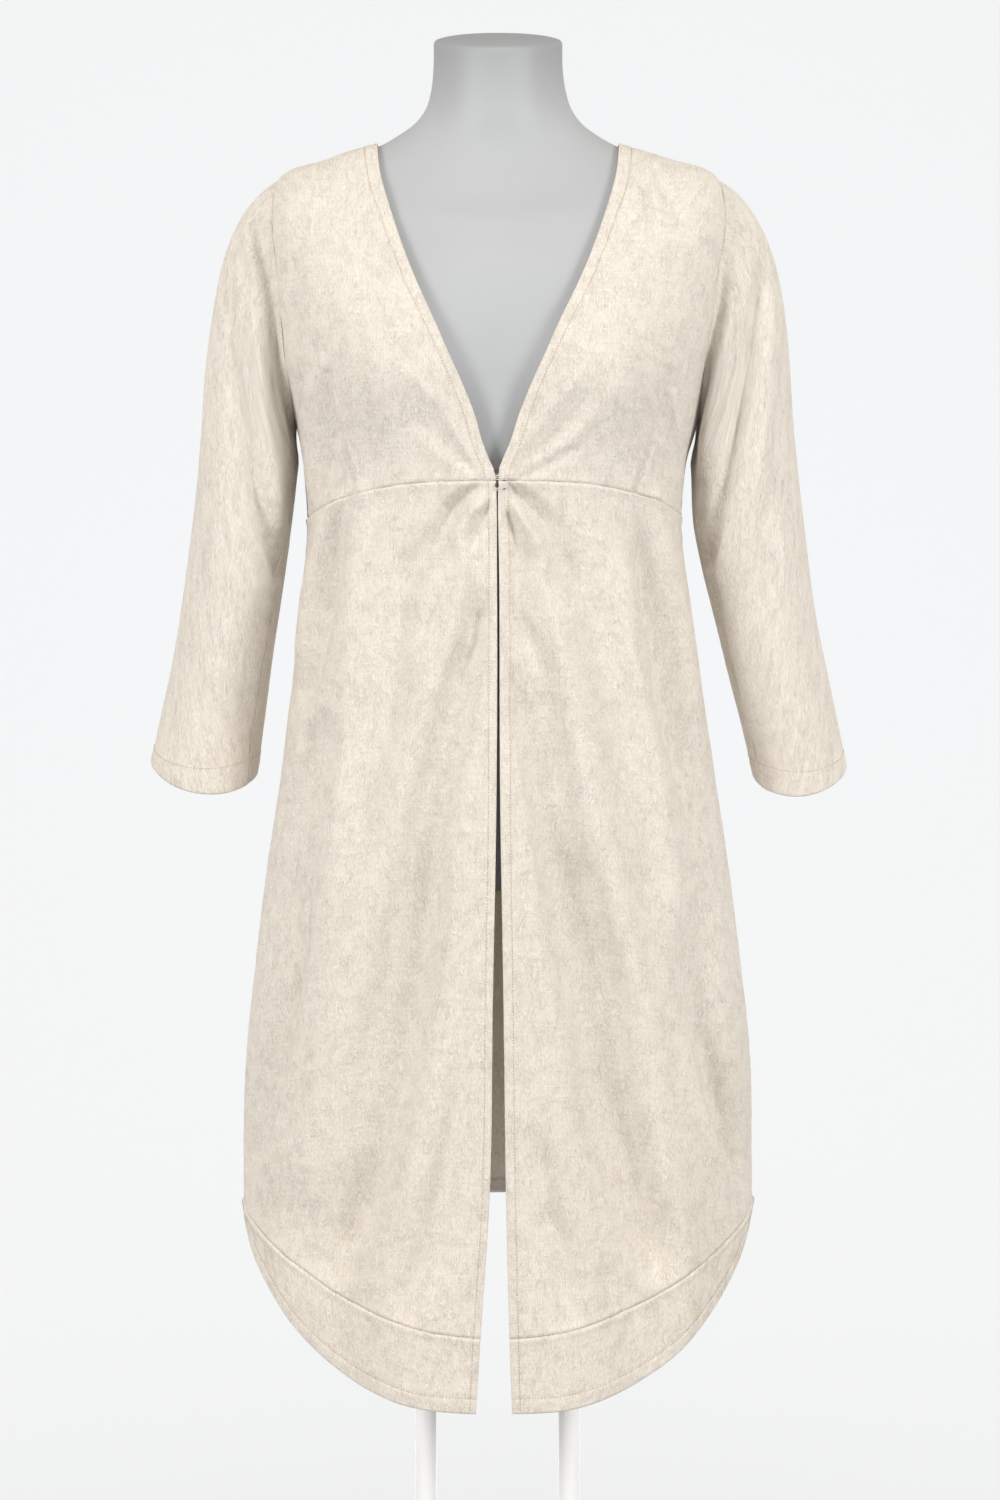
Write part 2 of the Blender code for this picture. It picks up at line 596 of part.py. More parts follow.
def form_point(turn, level):
    """The dress form lies inside the coat, close at the shoulders and looser below."""
    inset = follow(FORM_INSET, level)[..., 0]
    point = figure(turn, level)
    middle = np.exp(-(point[..., 0] / HOLLOW_WIDTH) ** 2
                    - ((point[..., 2] - BUST_HEIGHT) / HOLLOW_HEIGHT) ** 2)
    inset = inset + FORM_HOLLOW * middle * np.where(point[..., 1] < 0, 1.0, 0.0)
    inset = inset + FORM_EASE * (1 - np.abs(np.sin(turn)) ** 10)
    return point - inset[..., None] * facing(figure, turn, level)


def make_form():
    """One smooth closed body from the hips to a flat neck cap that tilts forward."""
    levels = np.concatenate([
        np.linspace(FORM_BOTTOM, ARMPIT, 13), np.linspace(ARMPIT, SHOULDER_TIP, 9)[1:],
        np.linspace(SHOULDER_TIP, 1.5250, 12)[1:], np.linspace(1.5250, NECK_TOP, 4)[1:]])
    turns = np.arange(FORM_AROUND) * 2 * math.pi / FORM_AROUND
    mesh = bpy.data.meshes.new("form_torso")
    body = bmesh.new()
    rings = []
    for level in levels:
        points = form_point(turns, np.full(FORM_AROUND, level))
        if level == levels[0]:
            points[:, 2] = FORM_BOTTOM
        rings.append([body.verts.new(point) for point in points])
    cap = points.mean(axis=0) + (points - points.mean(axis=0)) * (1 - FORM_RIM_SHARE)
    rings.append([body.verts.new(point + np.array((0, 0, FORM_RIM))) for point in cap])
    for low, high in zip(rings, rings[1:]):
        for k in range(FORM_AROUND):
            other = (k + 1) % FORM_AROUND
            body.faces.new((low[k], low[other], high[other], high[k]))
    body.faces.new(rings[-1])
    body.faces.new(rings[0][::-1])
    bmesh.ops.recalc_face_normals(body, faces=body.faces[:])
    body.to_mesh(mesh)
    body.free()
    finish("form_torso", mesh, "form_grey")


def make_stand():
    """An oval base plate and two slim rods with flanges; the origin is under the plate."""
    body = bmesh.new()
    bmesh.ops.create_cone(body, cap_ends=True, segments=48, radius1=1.0, radius2=1.0, depth=BASE_HEIGHT)
    for vertex in body.verts:
        vertex.co.x *= BASE_HALF_WIDTH
        vertex.co.y *= BASE_HALF_DEPTH
        vertex.co.z += BASE_HEIGHT / 2
    rim = [edge for edge in body.edges if all(v.co.z > BASE_HEIGHT / 2 for v in edge.verts)]
    bmesh.ops.bevel(body, geom=rim, offset=BASE_EDGE, segments=2, profile=0.5, affect="EDGES")
    mesh = bpy.data.meshes.new("stand_base")
    body.to_mesh(mesh)
    body.free()
    finish("stand_base", mesh, "stand_white")
    low, high = BASE_HEIGHT + SEAM, FORM_BOTTOM - SEAM
    for side, name in ((-1, "left"), (1, "right")):
        outline = ((0, low), (FLANGE_RADIUS, low), (FLANGE_RADIUS, low + FLANGE_HEIGHT),
                   (ROD_RADIUS, low + FLANGE_HEIGHT), (ROD_RADIUS, high - FLANGE_HEIGHT),
                   (FLANGE_RADIUS, high - FLANGE_HEIGHT), (FLANGE_RADIUS, high), (0, high))
        body = bmesh.new()
        corners = [body.verts.new((radius, 0, height)) for radius, height in outline]
        edges = [body.edges.new(ends) for ends in zip(corners, corners[1:])]
        bmesh.ops.spin(body, geom=corners + edges, cent=(0, 0, 0), axis=(0, 0, 1),
                       angle=2 * math.pi, steps=20, use_merge=True)
        bmesh.ops.remove_doubles(body, verts=body.verts[:], dist=1e-6)
        bmesh.ops.recalc_face_normals(body, faces=body.faces[:])
        mesh = bpy.data.meshes.new(f"stand_rod_{name}")
        body.to_mesh(mesh)
        body.free()
        rod = finish(f"stand_rod_{name}", mesh, "stand_white")
        rod.location.x = side * ROD_APART


def arc(centre, radius, start, stop, steps):
    """Points on an arc in the cloth's plane, angles in degrees from +X towards +Z."""
    angles = np.radians(np.linspace(start, stop, steps))
    return [(centre[0] + radius * math.cos(a), 0.0, centre[1] + radius * math.sin(a)) for a in angles]


def wire(name, points, place):
    """A bent wire with round section and closed ends."""
    data = bpy.data.curves.new(name, "CURVE")
    data.dimensions = "3D"
    data.bevel_depth = WIRE
    data.bevel_resolution = 1
    data.use_fill_caps = True
    spline = data.splines.new("POLY")
    spline.points.add(len(points) - 1)
    for point, spot in zip(spline.points, points):
        point.co = (*[a + b for a, b in zip(spot, place)], 1.0)
    finish(name, data, "hook_steel")


def make_hooks():
    """Two fastened hooks and eyes, sewn to the insides of the fronts at the waist seam."""
    ring_x, ring_z = HOOK_RING_PLACE
    for name, height in HOOKS:
        cloth = float(figure(np.zeros(1), np.full(1, height))[0, 1]) + WALL
        back = cloth + HOOK_SPACE + WIRE
        loop = arc(EYE_RING_PLACE, SEWING_RING, 20, 250, 8)
        upper = loop + arc((0.0, 0.0), EYE_NOSE, 90, 270, 8)
        lower = [(x, y, -z) for x, y, z in reversed(loop)]
        wire(f"eye_{name}", upper + lower, (HOOK_MIDDLE + EYE_OFFSET, back + HOOK_BEND, height))
        sewn = arc((ring_x, ring_z), SEWING_RING, 200, 430, 8)
        shank = [(-HOOK_SHANK, 0.0, 0.0), (0.0, 0.0, 0.0)]
        bend = [(HOOK_BEND * math.sin(a), HOOK_BEND * (1 - math.cos(a)), 0.0)
                for a in np.radians(np.linspace(20, 180, 7))]
        tongue = [(-HOOK_TONGUE, 2 * HOOK_BEND, 0.0)]
        wire(f"hook_{name}", sewn + shank + bend + tongue, (HOOK_MIDDLE, back, height))


def main():
    for item in list(bpy.data.objects):
        bpy.data.objects.remove(item)
    make_coat()
    make_form()
    make_stand()
    make_hooks()


main()
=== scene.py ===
"""Duster coat of crinkled cream linen on a limbless dress form with a twin-rod stand.

Metres, +Z up, the coat faces -Y, and left and right are the viewer's. Every panel is laid on the
same surface as its solid: figure(turn, level) for the body, sleeve(side, angle, along) for the
sleeves. A panel's grid is closer along its edges, and its creases, seams, turned edges and
crinkles are moves along the cloth's normal.
"""
import math

import bpy
import numpy as np
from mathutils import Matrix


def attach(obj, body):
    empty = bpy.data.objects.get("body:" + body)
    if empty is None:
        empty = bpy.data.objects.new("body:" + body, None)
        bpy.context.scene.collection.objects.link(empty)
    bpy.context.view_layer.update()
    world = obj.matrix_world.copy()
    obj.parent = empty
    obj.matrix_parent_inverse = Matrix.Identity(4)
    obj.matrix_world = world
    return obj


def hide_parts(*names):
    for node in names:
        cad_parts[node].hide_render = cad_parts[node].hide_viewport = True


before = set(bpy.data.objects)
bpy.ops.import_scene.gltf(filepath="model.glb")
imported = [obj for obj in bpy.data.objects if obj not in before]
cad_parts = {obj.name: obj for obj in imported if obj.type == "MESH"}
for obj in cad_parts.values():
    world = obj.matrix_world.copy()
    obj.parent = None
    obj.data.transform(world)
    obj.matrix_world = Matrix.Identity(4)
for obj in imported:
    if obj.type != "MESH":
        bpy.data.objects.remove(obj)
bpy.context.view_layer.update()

QUARTER = math.pi / 2
SEAM = -0.0008                  # two panels pass each other by this much, deep in their seam

# ---- The coat's cut, as in the solids -------------------------------------------------------

WAIST_SIDE = 1.1045
ARMPIT = 1.183
SHOULDER_TIP = 1.3888
NECK_POINT = 1.4765
NECK_TOP = 1.5805
WAIST_FRONT = 1.1286
WAIST_HALF = 0.157
WAIST_ARCH = 3.2
HEM_SIDE = 0.5345
HEM_FRONT = 0.376
HEM_BACK = 0.523
BAND_SIDE = 0.5368
BAND_FRONT = 0.4365
SKIRT_HALF = 0.2132
HEM_CURVE = (2.7, 1.4)
BAND_CURVE = (2.0, 1.2)

LEVELS = (
    # level,  side,   front,  back,   left,   right,  ahead,  behind, square, bow
    (0.3400, 0.3400, 0.3400, 0.3400, 0.2030, 0.2030, 0.1380, 0.1430, 2.30, 2.0),
    (0.4500, 0.4500, 0.4500, 0.4500, 0.2095, 0.2095, 0.1370, 0.1410, 2.30, 2.0),
    (0.5500, 0.5500, 0.5500, 0.5500, 0.2128, 0.2134, 0.1355, 0.1380, 2.30, 2.0),
    (0.6580, 0.6580, 0.6580, 0.6580, 0.2098, 0.2114, 0.1335, 0.1320, 2.30, 2.0),
    (0.7420, 0.7420, 0.7420, 0.7420, 0.2020, 0.2029, 0.1305, 0.1270, 2.30, 2.0),
    (0.8260, 0.8260, 0.8260, 0.8260, 0.1911, 0.1919, 0.1270, 0.1210, 2.30, 2.0),
    (0.9016, 0.9016, 0.9016, 0.9016, 0.1802, 0.1805, 0.1230, 0.1140, 2.30, 2.0),
    (0.9690, 0.9690, 0.9690, 0.9690, 0.1716, 0.1701, 0.1190, 0.1060, 2.30, 2.0),
    (1.0360, 1.0360, 1.0360, 1.0360, 0.1648, 0.1608, 0.1150, 0.0980, 2.30, 2.0),
    (1.0860, 1.0860, 1.0860, 1.0860, 0.1603, 0.1552, 0.1125, 0.0935, 2.30, 2.0),
    (1.1045, 1.1045, 1.1045, 1.1045, 0.1596, 0.1544, 0.1120, 0.0925, 2.30, 2.0),
    (1.1284, 1.1284, 1.1284, 1.1284, 0.1612, 0.1558, 0.1125, 0.0940, 2.32, 2.0),
    (1.1520, 1.1520, 1.1520, 1.1520, 0.1630, 0.1585, 0.1130, 0.0970, 2.35, 2.0),
    (1.1830, 1.1830, 1.1830, 1.1830, 0.1690, 0.1675, 0.1135, 0.1005, 2.40, 2.0),
    (1.2350, 1.2350, 1.2350, 1.2350, 0.1815, 0.1780, 0.1130, 0.1070, 2.70, 2.0),
    (1.2750, 1.2750, 1.2700, 1.2720, 0.1860, 0.1850, 0.1090, 0.1100, 2.90, 2.0),
    (1.3100, 1.3100, 1.2970, 1.3020, 0.1880, 0.1885, 0.1030, 0.1090, 3.00, 2.0),
    (1.3550, 1.3550, 1.3200, 1.3320, 0.1900, 0.1920, 0.0950, 0.1040, 3.00, 2.0),
    (1.3888, 1.3888, 1.3350, 1.3500, 0.1828, 0.1845, 0.0880, 0.0980, 2.80, 2.0),
    (1.4328, 1.4056, 1.3520, 1.3750, 0.1424, 0.1450, 0.0800, 0.0900, 2.60, 2.0),
    (1.4577, 1.4140, 1.3640, 1.3900, 0.1189, 0.1200, 0.0730, 0.0820, 2.45, 2.0),
    (1.4765, 1.4195, 1.3740, 1.4020, 0.1010, 0.1020, 0.0680, 0.0750, 2.30, 2.0),
    (1.4962, 1.4290, 1.3860, 1.4120, 0.0838, 0.0845, 0.0625, 0.0680, 2.20, 2.0),
    (1.5103, 1.4370, 1.3980, 1.4220, 0.0722, 0.0735, 0.0580, 0.0625, 2.10, 2.0),
    (1.5250, 1.4484, 1.4140, 1.4360, 0.0631, 0.0650, 0.0545, 0.0580, 2.05, 1.8),
    (1.5420, 1.4646, 1.4360, 1.4560, 0.0583, 0.0598, 0.0550, 0.0530, 2.00, 1.5),
    (1.5587, 1.4812, 1.4620, 1.4860, 0.0566, 0.0576, 0.0565, 0.0500, 2.00, 1.2),
    (1.5805, 1.5030, 1.4880, 1.5180, 0.0563, 0.0573, 0.0585, 0.0465, 2.00, 1.0),
)
OPENING = (
    # height, left,   right
    (0.3760, 0.0173, 0.0117),
    (0.4400, 0.0133, 0.0095),
    (0.5503, 0.0062, 0.0069),
    (0.7080, 0.0036, 0.0048),
    (0.8700, 0.0007, 0.0022),
    (1.0600, 0.0003, 0.0013),
    (1.1150, 0.0007, 0.0005),
    (1.1284, 0.0012, 0.0008),
    (1.1370, 0.0027, 0.0010),
    (1.1449, 0.0063, 0.0039),
    (1.1605, 0.0124, 0.0106),
    (1.1773, 0.0170, 0.0158),
    (1.2422, 0.0440, 0.0433),
    (1.3094, 0.0730, 0.0738),
    (1.3443, 0.0848, 0.0862),
    (1.3903, 0.0975, 0.0988),
    (1.4195, 0.1010, 0.1020),
)
BUST_HEIGHT = 1.212
BUST_APART = 0.088
BUST_RISE = 0.019
BUST_WIDTH = 0.050
BUST_ABOVE = 0.062
BUST_BELOW = 0.046
BUST_FADE = 0.050

# Large folds: turn in degrees and height at the top and bottom, half width, depth, bow.
FOLD_START = 0.35
FOLD_END = 1.15
FOLDS = (
    (-4.0, 1.120, -50.0, 0.440, 0.026, -0.0085, -6.0),
    (-12.0, 1.100, -64.0, 0.480, 0.022, 0.0060, -4.0),
    (-3.0, 1.090, -27.0, 0.400, 0.024, 0.0055, -4.0),
    (-56.0, 0.960, -74.0, 0.500, 0.022, 0.0050, 2.0),
    (-40.0, 1.080, -60.0, 0.500, 0.020, -0.0030, 0.0),
    (4.0, 1.120, 45.0, 0.440, 0.025, -0.0085, 5.0),
    (10.0, 1.110, 58.0, 0.470, 0.023, 0.0060, 4.0),
    (2.0, 1.060, 22.0, 0.400, 0.022, 0.0045, 4.0),
    (40.0, 1.060, 58.0, 0.500, 0.020, -0.0030, -2.0),
    (58.0, 0.930, 73.0, 0.500, 0.022, 0.0045, 3.0),
    (98.0, 1.060, 104.0, 0.500, 0.022, -0.0050, 2.0),
    (118.0, 1.080, 124.0, 0.490, 0.026, 0.0070, -2.0),
    (136.0, 1.050, 145.0, 0.490, 0.024, -0.0065, 2.0),
    (158.0, 1.080, 163.0, 0.490, 0.027, 0.0075, 1.0),
    (181.0, 1.000, 183.0, 0.490, 0.026, -0.0070, -2.0),
    (203.0, 1.080, 202.0, 0.490, 0.025, 0.0070, 2.0),
    (222.0, 1.040, 219.0, 0.490, 0.023, -0.0060, -2.0),
    (243.0, 1.070, 238.0, 0.490, 0.026, 0.0065, 1.0),
    (262.0, 1.050, 257.0, 0.490, 0.022, -0.0055, 0.0),
)

ARMHOLE_FRONT = 0.047
ARMHOLE_BACK = 0.055
ARMHOLE_SKEW = 0.12
ROW_CROWD = 1.35
SIDE_SHARE = 0.25               # the side seam's share of a bodice panel's outer edge
SHOULDER_SHARE = 0.24           # the shoulder seam's share of the bodice back's edge
BODY_REACH = 0.165
SKIRT_REACH = 0.200
NECK_REACH = 0.100

SLEEVE_LEFT = (
    # height, outer,  inner,  centre, deep,   drop
    (1.1520, 0.2494, 0.1672, 0.0040, 0.0560, 0.000),
    (1.1032, 0.2549, 0.1730, 0.0050, 0.0545, 0.000),
    (1.0360, 0.2642, 0.1827, 0.0060, 0.0525, 0.010),
    (0.9690, 0.2759, 0.1928, 0.0070, 0.0505, 0.060),
    (0.9300, 0.2845, 0.1980, 0.0075, 0.0495, 0.160),
    (0.8955, 0.2915, 0.2022, 0.0080, 0.0490, 0.330),
)
SLEEVE_RIGHT = (
    # height, outer,  inner,  centre, deep,   drop
    (1.1520, 0.2515, 0.1625, 0.0040, 0.0560, 0.000),
    (1.1032, 0.2562, 0.1648, 0.0050, 0.0545, 0.000),
    (1.0696, 0.2605, 0.1718, 0.0055, 0.0535, 0.005),
    (1.0360, 0.2652, 0.1805, 0.0060, 0.0525, 0.010),
    (0.9690, 0.2776, 0.1970, 0.0070, 0.0505, 0.060),
    (0.9300, 0.2855, 0.2070, 0.0075, 0.0490, 0.160),
    (0.8930, 0.2938, 0.2150, 0.0080, 0.0480, 0.330),
)
SLEEVE_LEAN = 0.13
CUFF_CURL = 0.35
CAP_PULL = 0.95
CAP_OUT = (0.20, 0.87)
CAP_DOWN = (1.05, 0.49)
SLEEVE_FLARE = 0.13
UNDERARM = (180.0, 150.0)       # the underarm seam's angle at the armpit and at the cuff

FORM_INSET = (
    # level, inset
    (0.7950, 0.0340),
    (0.8400, 0.0200),
    (0.9000, 0.0170),
    (0.9700, 0.0200),
    (1.0400, 0.0230),
    (1.1000, 0.0120),
    (1.1500, 0.0075),
    (1.2100, 0.0060),
    (1.3000, 0.0055),
    (1.3888, 0.0042),
    (1.4200, 0.0034),
    (1.4765, 0.0034),
    (1.5103, 0.0028),
    (1.5805, 0.0028),
)
FORM_EASE = 0.0030
FORM_HOLLOW = 0.010
HOLLOW_WIDTH = 0.045
HOLLOW_HEIGHT = 0.070
FORM_BOTTOM = 0.795
FORM_RIM = 0.003

ROD_APART = 0.060
ROD_RADIUS = 0.009
FLANGE_RADIUS = 0.024
FLANGE_HEIGHT = 0.005
BASE_HALF_WIDTH = 0.210
BASE_HALF_DEPTH = 0.175
BASE_HEIGHT = 0.010


# Rounds of each search, after which it has settled.
OPENING_ROUNDS = 24
HEM_ROUNDS = 6
EDGE_ROUNDS = 4
GRID_ROUNDS = 3
OPENING_LEVELS = np.linspace(1.10, NECK_POINT, 400)
NUDGE = 1e-3                    # a step that shows a surface's direction


def stack(*columns):
    """Points or (turn, level) pairs, from their columns."""
    return np.stack(np.broadcast_arrays(*columns), axis=-1)


def hermite(s, start, end, leave, arrive):
    """A cubic from start to end as s goes from 0 to 1, with its slope at both."""
    return (start * (2 * s**3 - 3 * s**2 + 1) + end * (3 * s**2 - 2 * s**3)
            + leave * (s**3 - 2 * s**2 + s) + arrive * (s**3 - s**2))


def follow(rows, place):
    """Read a table as smooth curves: column 0 is the place, and the rest come back at `place`."""
    rows = np.array(sorted(rows), float)
    knots, values = rows[:, 0], rows[:, 1:]
    slopes = np.gradient(values, knots, axis=0)
    place = np.clip(place, knots[0], knots[-1])
    low = np.clip(np.searchsorted(knots, place, side="right") - 1, 0, len(knots) - 2)
    span = (knots[low + 1] - knots[low])[..., None]
    s = (place - knots[low])[..., None] / span
    return hermite(s, values[low], values[low + 1], span * slopes[low], span * slopes[low + 1])


def unit(vectors):
    return vectors / np.maximum(np.linalg.norm(vectors, axis=-1, keepdims=True), 1e-12)


def smooth(value):
    value = np.clip(value, 0, 1)
    return value * value * (3 - 2 * value)


def hill(distance, width):
    return np.exp(-(distance / width) ** 2)


def ring(turn, level):
    """The coat's outer surface before its bust and folds."""
    column = np.moveaxis(follow(LEVELS, level), -1, 0)
    side, front, back, left, right, ahead, behind, square, bow = column
    half = np.where(np.sin(turn) < 0, left, right)
    deep = np.where(np.cos(turn) < 0, behind, ahead)
    middle = np.where(np.cos(turn) < 0, back, front)
    reach = (np.abs(np.sin(turn) / half) ** square + np.abs(np.cos(turn) / deep) ** square) ** (-1 / square)
    y = -reach * np.cos(turn)
    return stack(reach * np.sin(turn), y, side + (middle - side) * (np.abs(y) / deep) ** bow)


def bust(points):
    x, y, z = np.moveaxis(points, -1, 0)
    tall = np.where(z > BUST_HEIGHT, BUST_ABOVE, BUST_BELOW)
    rise = BUST_RISE * np.clip(-y / BUST_FADE, 0, 1)
    return rise * hill(np.abs(x) - BUST_APART, BUST_WIDTH) * hill(z - BUST_HEIGHT, tall)


def fold_height(turn, points):
    x, y, z = np.moveaxis(points, -1, 0)
    reach = np.hypot(x, y)
    total = np.zeros_like(reach)
    for top_turn, top, low_turn, low, half, depth, bow in FOLDS:
        down = np.clip((top - z) / (top - low), 0, FOLD_END)
        centre = np.radians(top_turn + (low_turn - top_turn) * down + bow * np.sin(math.pi * down))
        away = np.abs((turn - centre + math.pi) % (2 * math.pi) - math.pi) * reach
        total += depth * smooth(down / FOLD_START) * hill(away, half)
    return total


def figure(turn, level):
    """The coat's outer surface, bust and large folds included."""
    points = ring(turn, level)
    rise = fold_height(turn, points)
    return points + stack(rise * np.sin(turn), -rise * np.cos(turn) - bust(points), 0.0)


def facing(surface, first, second, step=2e-4):
    along = surface(first + step, second) - surface(first - step, second)
    up = surface(first, second + step) - surface(first, second - step)
    return unit(np.cross(along, up))


def opening(height, side):
    edge = follow(OPENING, height)
    return edge[..., 0] if side < 0 else edge[..., 1]


def opening_turn(level, side):
    low, high = np.zeros_like(level), np.full_like(level, QUARTER)
    for _ in range(OPENING_ROUNDS):
        half = (low + high) / 2
        point = figure(side * half, level)
        inside = np.abs(point[..., 0]) < opening(point[..., 2], side)
        low, high = np.where(inside, half, low), np.where(inside, high, half)
    return (low + high) / 2


def opening_level(height, side):
    turn = side * opening_turn(OPENING_LEVELS, side)
    return np.interp(height, figure(turn, OPENING_LEVELS)[:, 2], OPENING_LEVELS)


def waist_level(turn):
    across = np.abs(ring(turn, np.full_like(turn, WAIST_SIDE))[..., 0]) / WAIST_HALF
    arched = WAIST_FRONT - (WAIST_FRONT - WAIST_SIDE) * np.clip(across, 0, 1) ** WAIST_ARCH
    return np.where(np.cos(turn) > 0, arched, WAIST_SIDE)


def curved_level(turn, side_height, front_height, curve):
    squat, lift = curve
    height = np.full_like(turn, (side_height + front_height) / 2)
    for _ in range(HEM_ROUNDS):
        across = np.clip(np.abs(figure(turn, height)[..., 0]) / SKIRT_HALF, 0, 1)
        height = front_height + (side_height - front_height) * (1 - (1 - across**squat) ** (1 / lift))
    return height


def front_hem_level(turn):
    return curved_level(turn, HEM_SIDE, HEM_FRONT, HEM_CURVE)


def band_level(turn):
    return curved_level(turn, BAND_SIDE, BAND_FRONT, BAND_CURVE)


def back_hem_level(turn):
    return HEM_BACK + (BAND_SIDE - HEM_BACK) * np.sin(turn) ** 2


def armhole(angle, side, grow):
    """Turn and level of the armhole seam, from the shoulder tip round the front to the armpit."""
    middle, tall = (SHOULDER_TIP + ARMPIT) / 2, (SHOULDER_TIP - ARMPIT) / 2
    level = middle + (tall + grow) * np.cos(angle)
    across = np.sin(angle)
    bulge = np.where(across > 0, ARMHOLE_FRONT, ARMHOLE_BACK)
    y = -(bulge * (1 - ARMHOLE_SKEW * np.cos(angle)) + grow) * across
    column = np.moveaxis(follow(LEVELS, level), -1, 0)
    half = column[3] if side < 0 else column[4]
    deep = np.where(y > 0, column[6], column[5])
    x = half * (1 - np.abs(y / deep) ** column[7]) ** (1 / column[7])
    turn = np.arctan2(x, -y)
    return (turn if side > 0 else 2 * math.pi - turn), level


def side_edge(down, side, front):
    """The armhole and side seam edge of a bodice panel, from the shoulder tip to the waist."""
    share = 1 - SIDE_SHARE
    angle = math.pi * np.clip(down / share, 0, 1)
    turn, level = armhole(angle if front else -angle, side, SEAM / 2)
    below = np.clip((down - share) / (1 - share), 0, 1)
    low = WAIST_SIDE + SEAM / 2
    level = np.where(down > share, ARMPIT - SEAM / 2 + (low - ARMPIT + SEAM / 2) * below, level)
    seam = QUARTER if side > 0 else 3 * QUARTER
    inward = (-1 if front else 1) * (1 if side > 0 else -1)
    line = seam + inward * SEAM / 2 / BODY_REACH
    on_line = (down >= share) | (down <= 0)
    return stack(np.where(on_line, line, turn), level)


def coons(across, down, top, bottom, start, end):
    """Fill a four-sided patch between its edges, each a function of 0 to 1 giving (turn, level)."""
    one, two = across[..., None], down[..., None] ** ROW_CROWD
    zero, unity = np.zeros_like(across), np.ones_like(across)
    sides = (1 - one) * start(down) + one * end(down)
    ends = (1 - two) * top(across) + two * bottom(across)
    corners = ((1 - one) * (1 - two) * start(zero) + one * (1 - two) * end(zero)
               + (1 - one) * two * start(unity) + one * two * end(unity))
    return sides + ends - corners


def bodice_front(across, down, side):
    """Across from the neckline to the armhole, down from the shoulder seam to the waist seam."""
    inner_low = WAIST_FRONT + SEAM / 2
    line = side_edge(np.zeros(1), side, True)[0, 0]
    neck = OPENING[-1][0]

    def top(u):
        return stack(line, NECK_POINT + (SHOULDER_TIP - NECK_POINT) * u)

    def start(v):
        level = opening_level(neck + (inner_low - neck) * v**ROW_CROWD, side)
        turn = opening_turn(level, side)
        turn = np.where(v <= 0, QUARTER - SEAM / 2 / NECK_REACH, turn)
        return stack(turn if side > 0 else 2 * math.pi - turn, level)

    def end(v):
        return side_edge(v, side, True)

    def bottom(u):
        first, last = start(np.ones(1))[0, 0], end(np.ones(1))[0, 0]
        turn = first + (last - first) * u
        return stack(turn, waist_level(turn) + SEAM / 2)

    return coons(across, down, top, bottom, start, end)


def back_edge(down, side):
    below = side_edge(np.clip((down - SHOULDER_SHARE) / (1 - SHOULDER_SHARE), 0, 1), side, False)
    line = side_edge(np.zeros(1), side, False)[0, 0]
    level = NECK_POINT + (SHOULDER_TIP - NECK_POINT) * down / SHOULDER_SHARE
    return np.where((down < SHOULDER_SHARE)[..., None], stack(line, level), below)


def bodice_back(across, down):
    """Across from the right side to the left, down from the neckline to the waist seam."""
    right, left = back_edge(down, 1), back_edge(down, -1)
    return right + (left - right) * across[..., None]


def front_strip(across, down, side, top, bottom):
    """A skirt front or a hem band, between two edge functions of the turn."""
    turn = QUARTER * across
    for _ in range(EDGE_ROUNDS):
        signed = turn if side > 0 else 2 * math.pi - turn
        level = top(signed) + (bottom(signed) - top(signed)) * down
        flat = figure(signed * 0, level)
        edge = np.arctan2(opening(level, side), -flat[..., 1])
        last = QUARTER - SEAM / 2 / SKIRT_REACH
        turn = edge + (last - edge) * across
    return stack(turn if side > 0 else 2 * math.pi - turn, level)


def skirt_front(across, down, side):
    return front_strip(across, down, side, lambda t: waist_level(t) - SEAM / 2,
                       lambda t: band_level(t) + SEAM / 2)


def hem_band(across, down, side):
    return front_strip(across, down, side, lambda t: band_level(t) - SEAM / 2, front_hem_level)


def skirt_back(across, down):
    half_seam = SEAM / 2 / SKIRT_REACH
    turn = QUARTER + half_seam + (2 * QUARTER - 2 * half_seam) * across
    top = waist_level(turn) - SEAM / 2
    return stack(turn, top + (back_hem_level(turn) - top) * down)


def sleeve_ring(side, angle, height):
    """A ring of the hanging sleeve. The angle goes from its outer side, 0, to its front."""
    table = SLEEVE_LEFT if side < 0 else SLEEVE_RIGHT
    outer, inner, centre, deep, drop = np.moveaxis(follow(table, height), -1, 0)
    middle, half = (outer + inner) / 2, (outer - inner) / 2
    front = np.sin(angle)
    z = height + SLEEVE_LEAN * half * np.cos(angle) - drop * deep * front
    z = z - CUFF_CURL * drop * deep * front**2
    return stack(side * (middle + half * np.cos(angle)), centre - deep * front, z)


def sleeve(side, angle, along):
    """The sleeve: along is 0 at the armhole, 1 at the first hanging ring and 2 at the cuff."""
    table = SLEEVE_LEFT if side < 0 else SLEEVE_RIGHT
    first, last = table[0][0], table[-1][0]
    turn, level = armhole(angle, side, 0.0)
    seam = figure(turn, level)
    out = facing(figure, turn, level)
    upper = (1 + np.cos(angle)) / 2
    nearby = armhole(angle + NUDGE, side, 0.0)
    past = np.cross(out, unit(figure(*nearby) - seam)) * side
    root = seam + SEAM / 2 * unit(past * upper[..., None] + out * (1 - upper)[..., None])
    target = sleeve_ring(side, angle, np.full_like(angle, first))
    outward = CAP_OUT[0] + (CAP_OUT[1] - CAP_OUT[0]) * upper
    downward = CAP_DOWN[0] + (CAP_DOWN[1] - CAP_DOWN[0]) * upper
    tangent_in = unit(stack(side * outward, 0.0, -downward))
    tangent_out = unit(stack(side * SLEEVE_FLARE, 0.0, -1.0))
    span = np.linalg.norm(target - root, axis=-1, keepdims=True)
    s = np.clip(along, 0, 1)[..., None]
    cap = hermite(s, root, target, tangent_in * span * CAP_PULL, tangent_out * span)
    tube = sleeve_ring(side, angle, first + (last - first) * np.clip(along - 1, 0, 1))
    return np.where(along[..., None] <= 1, cap, tube)


# ---- Grids ----------------------------------------------------------------------------------

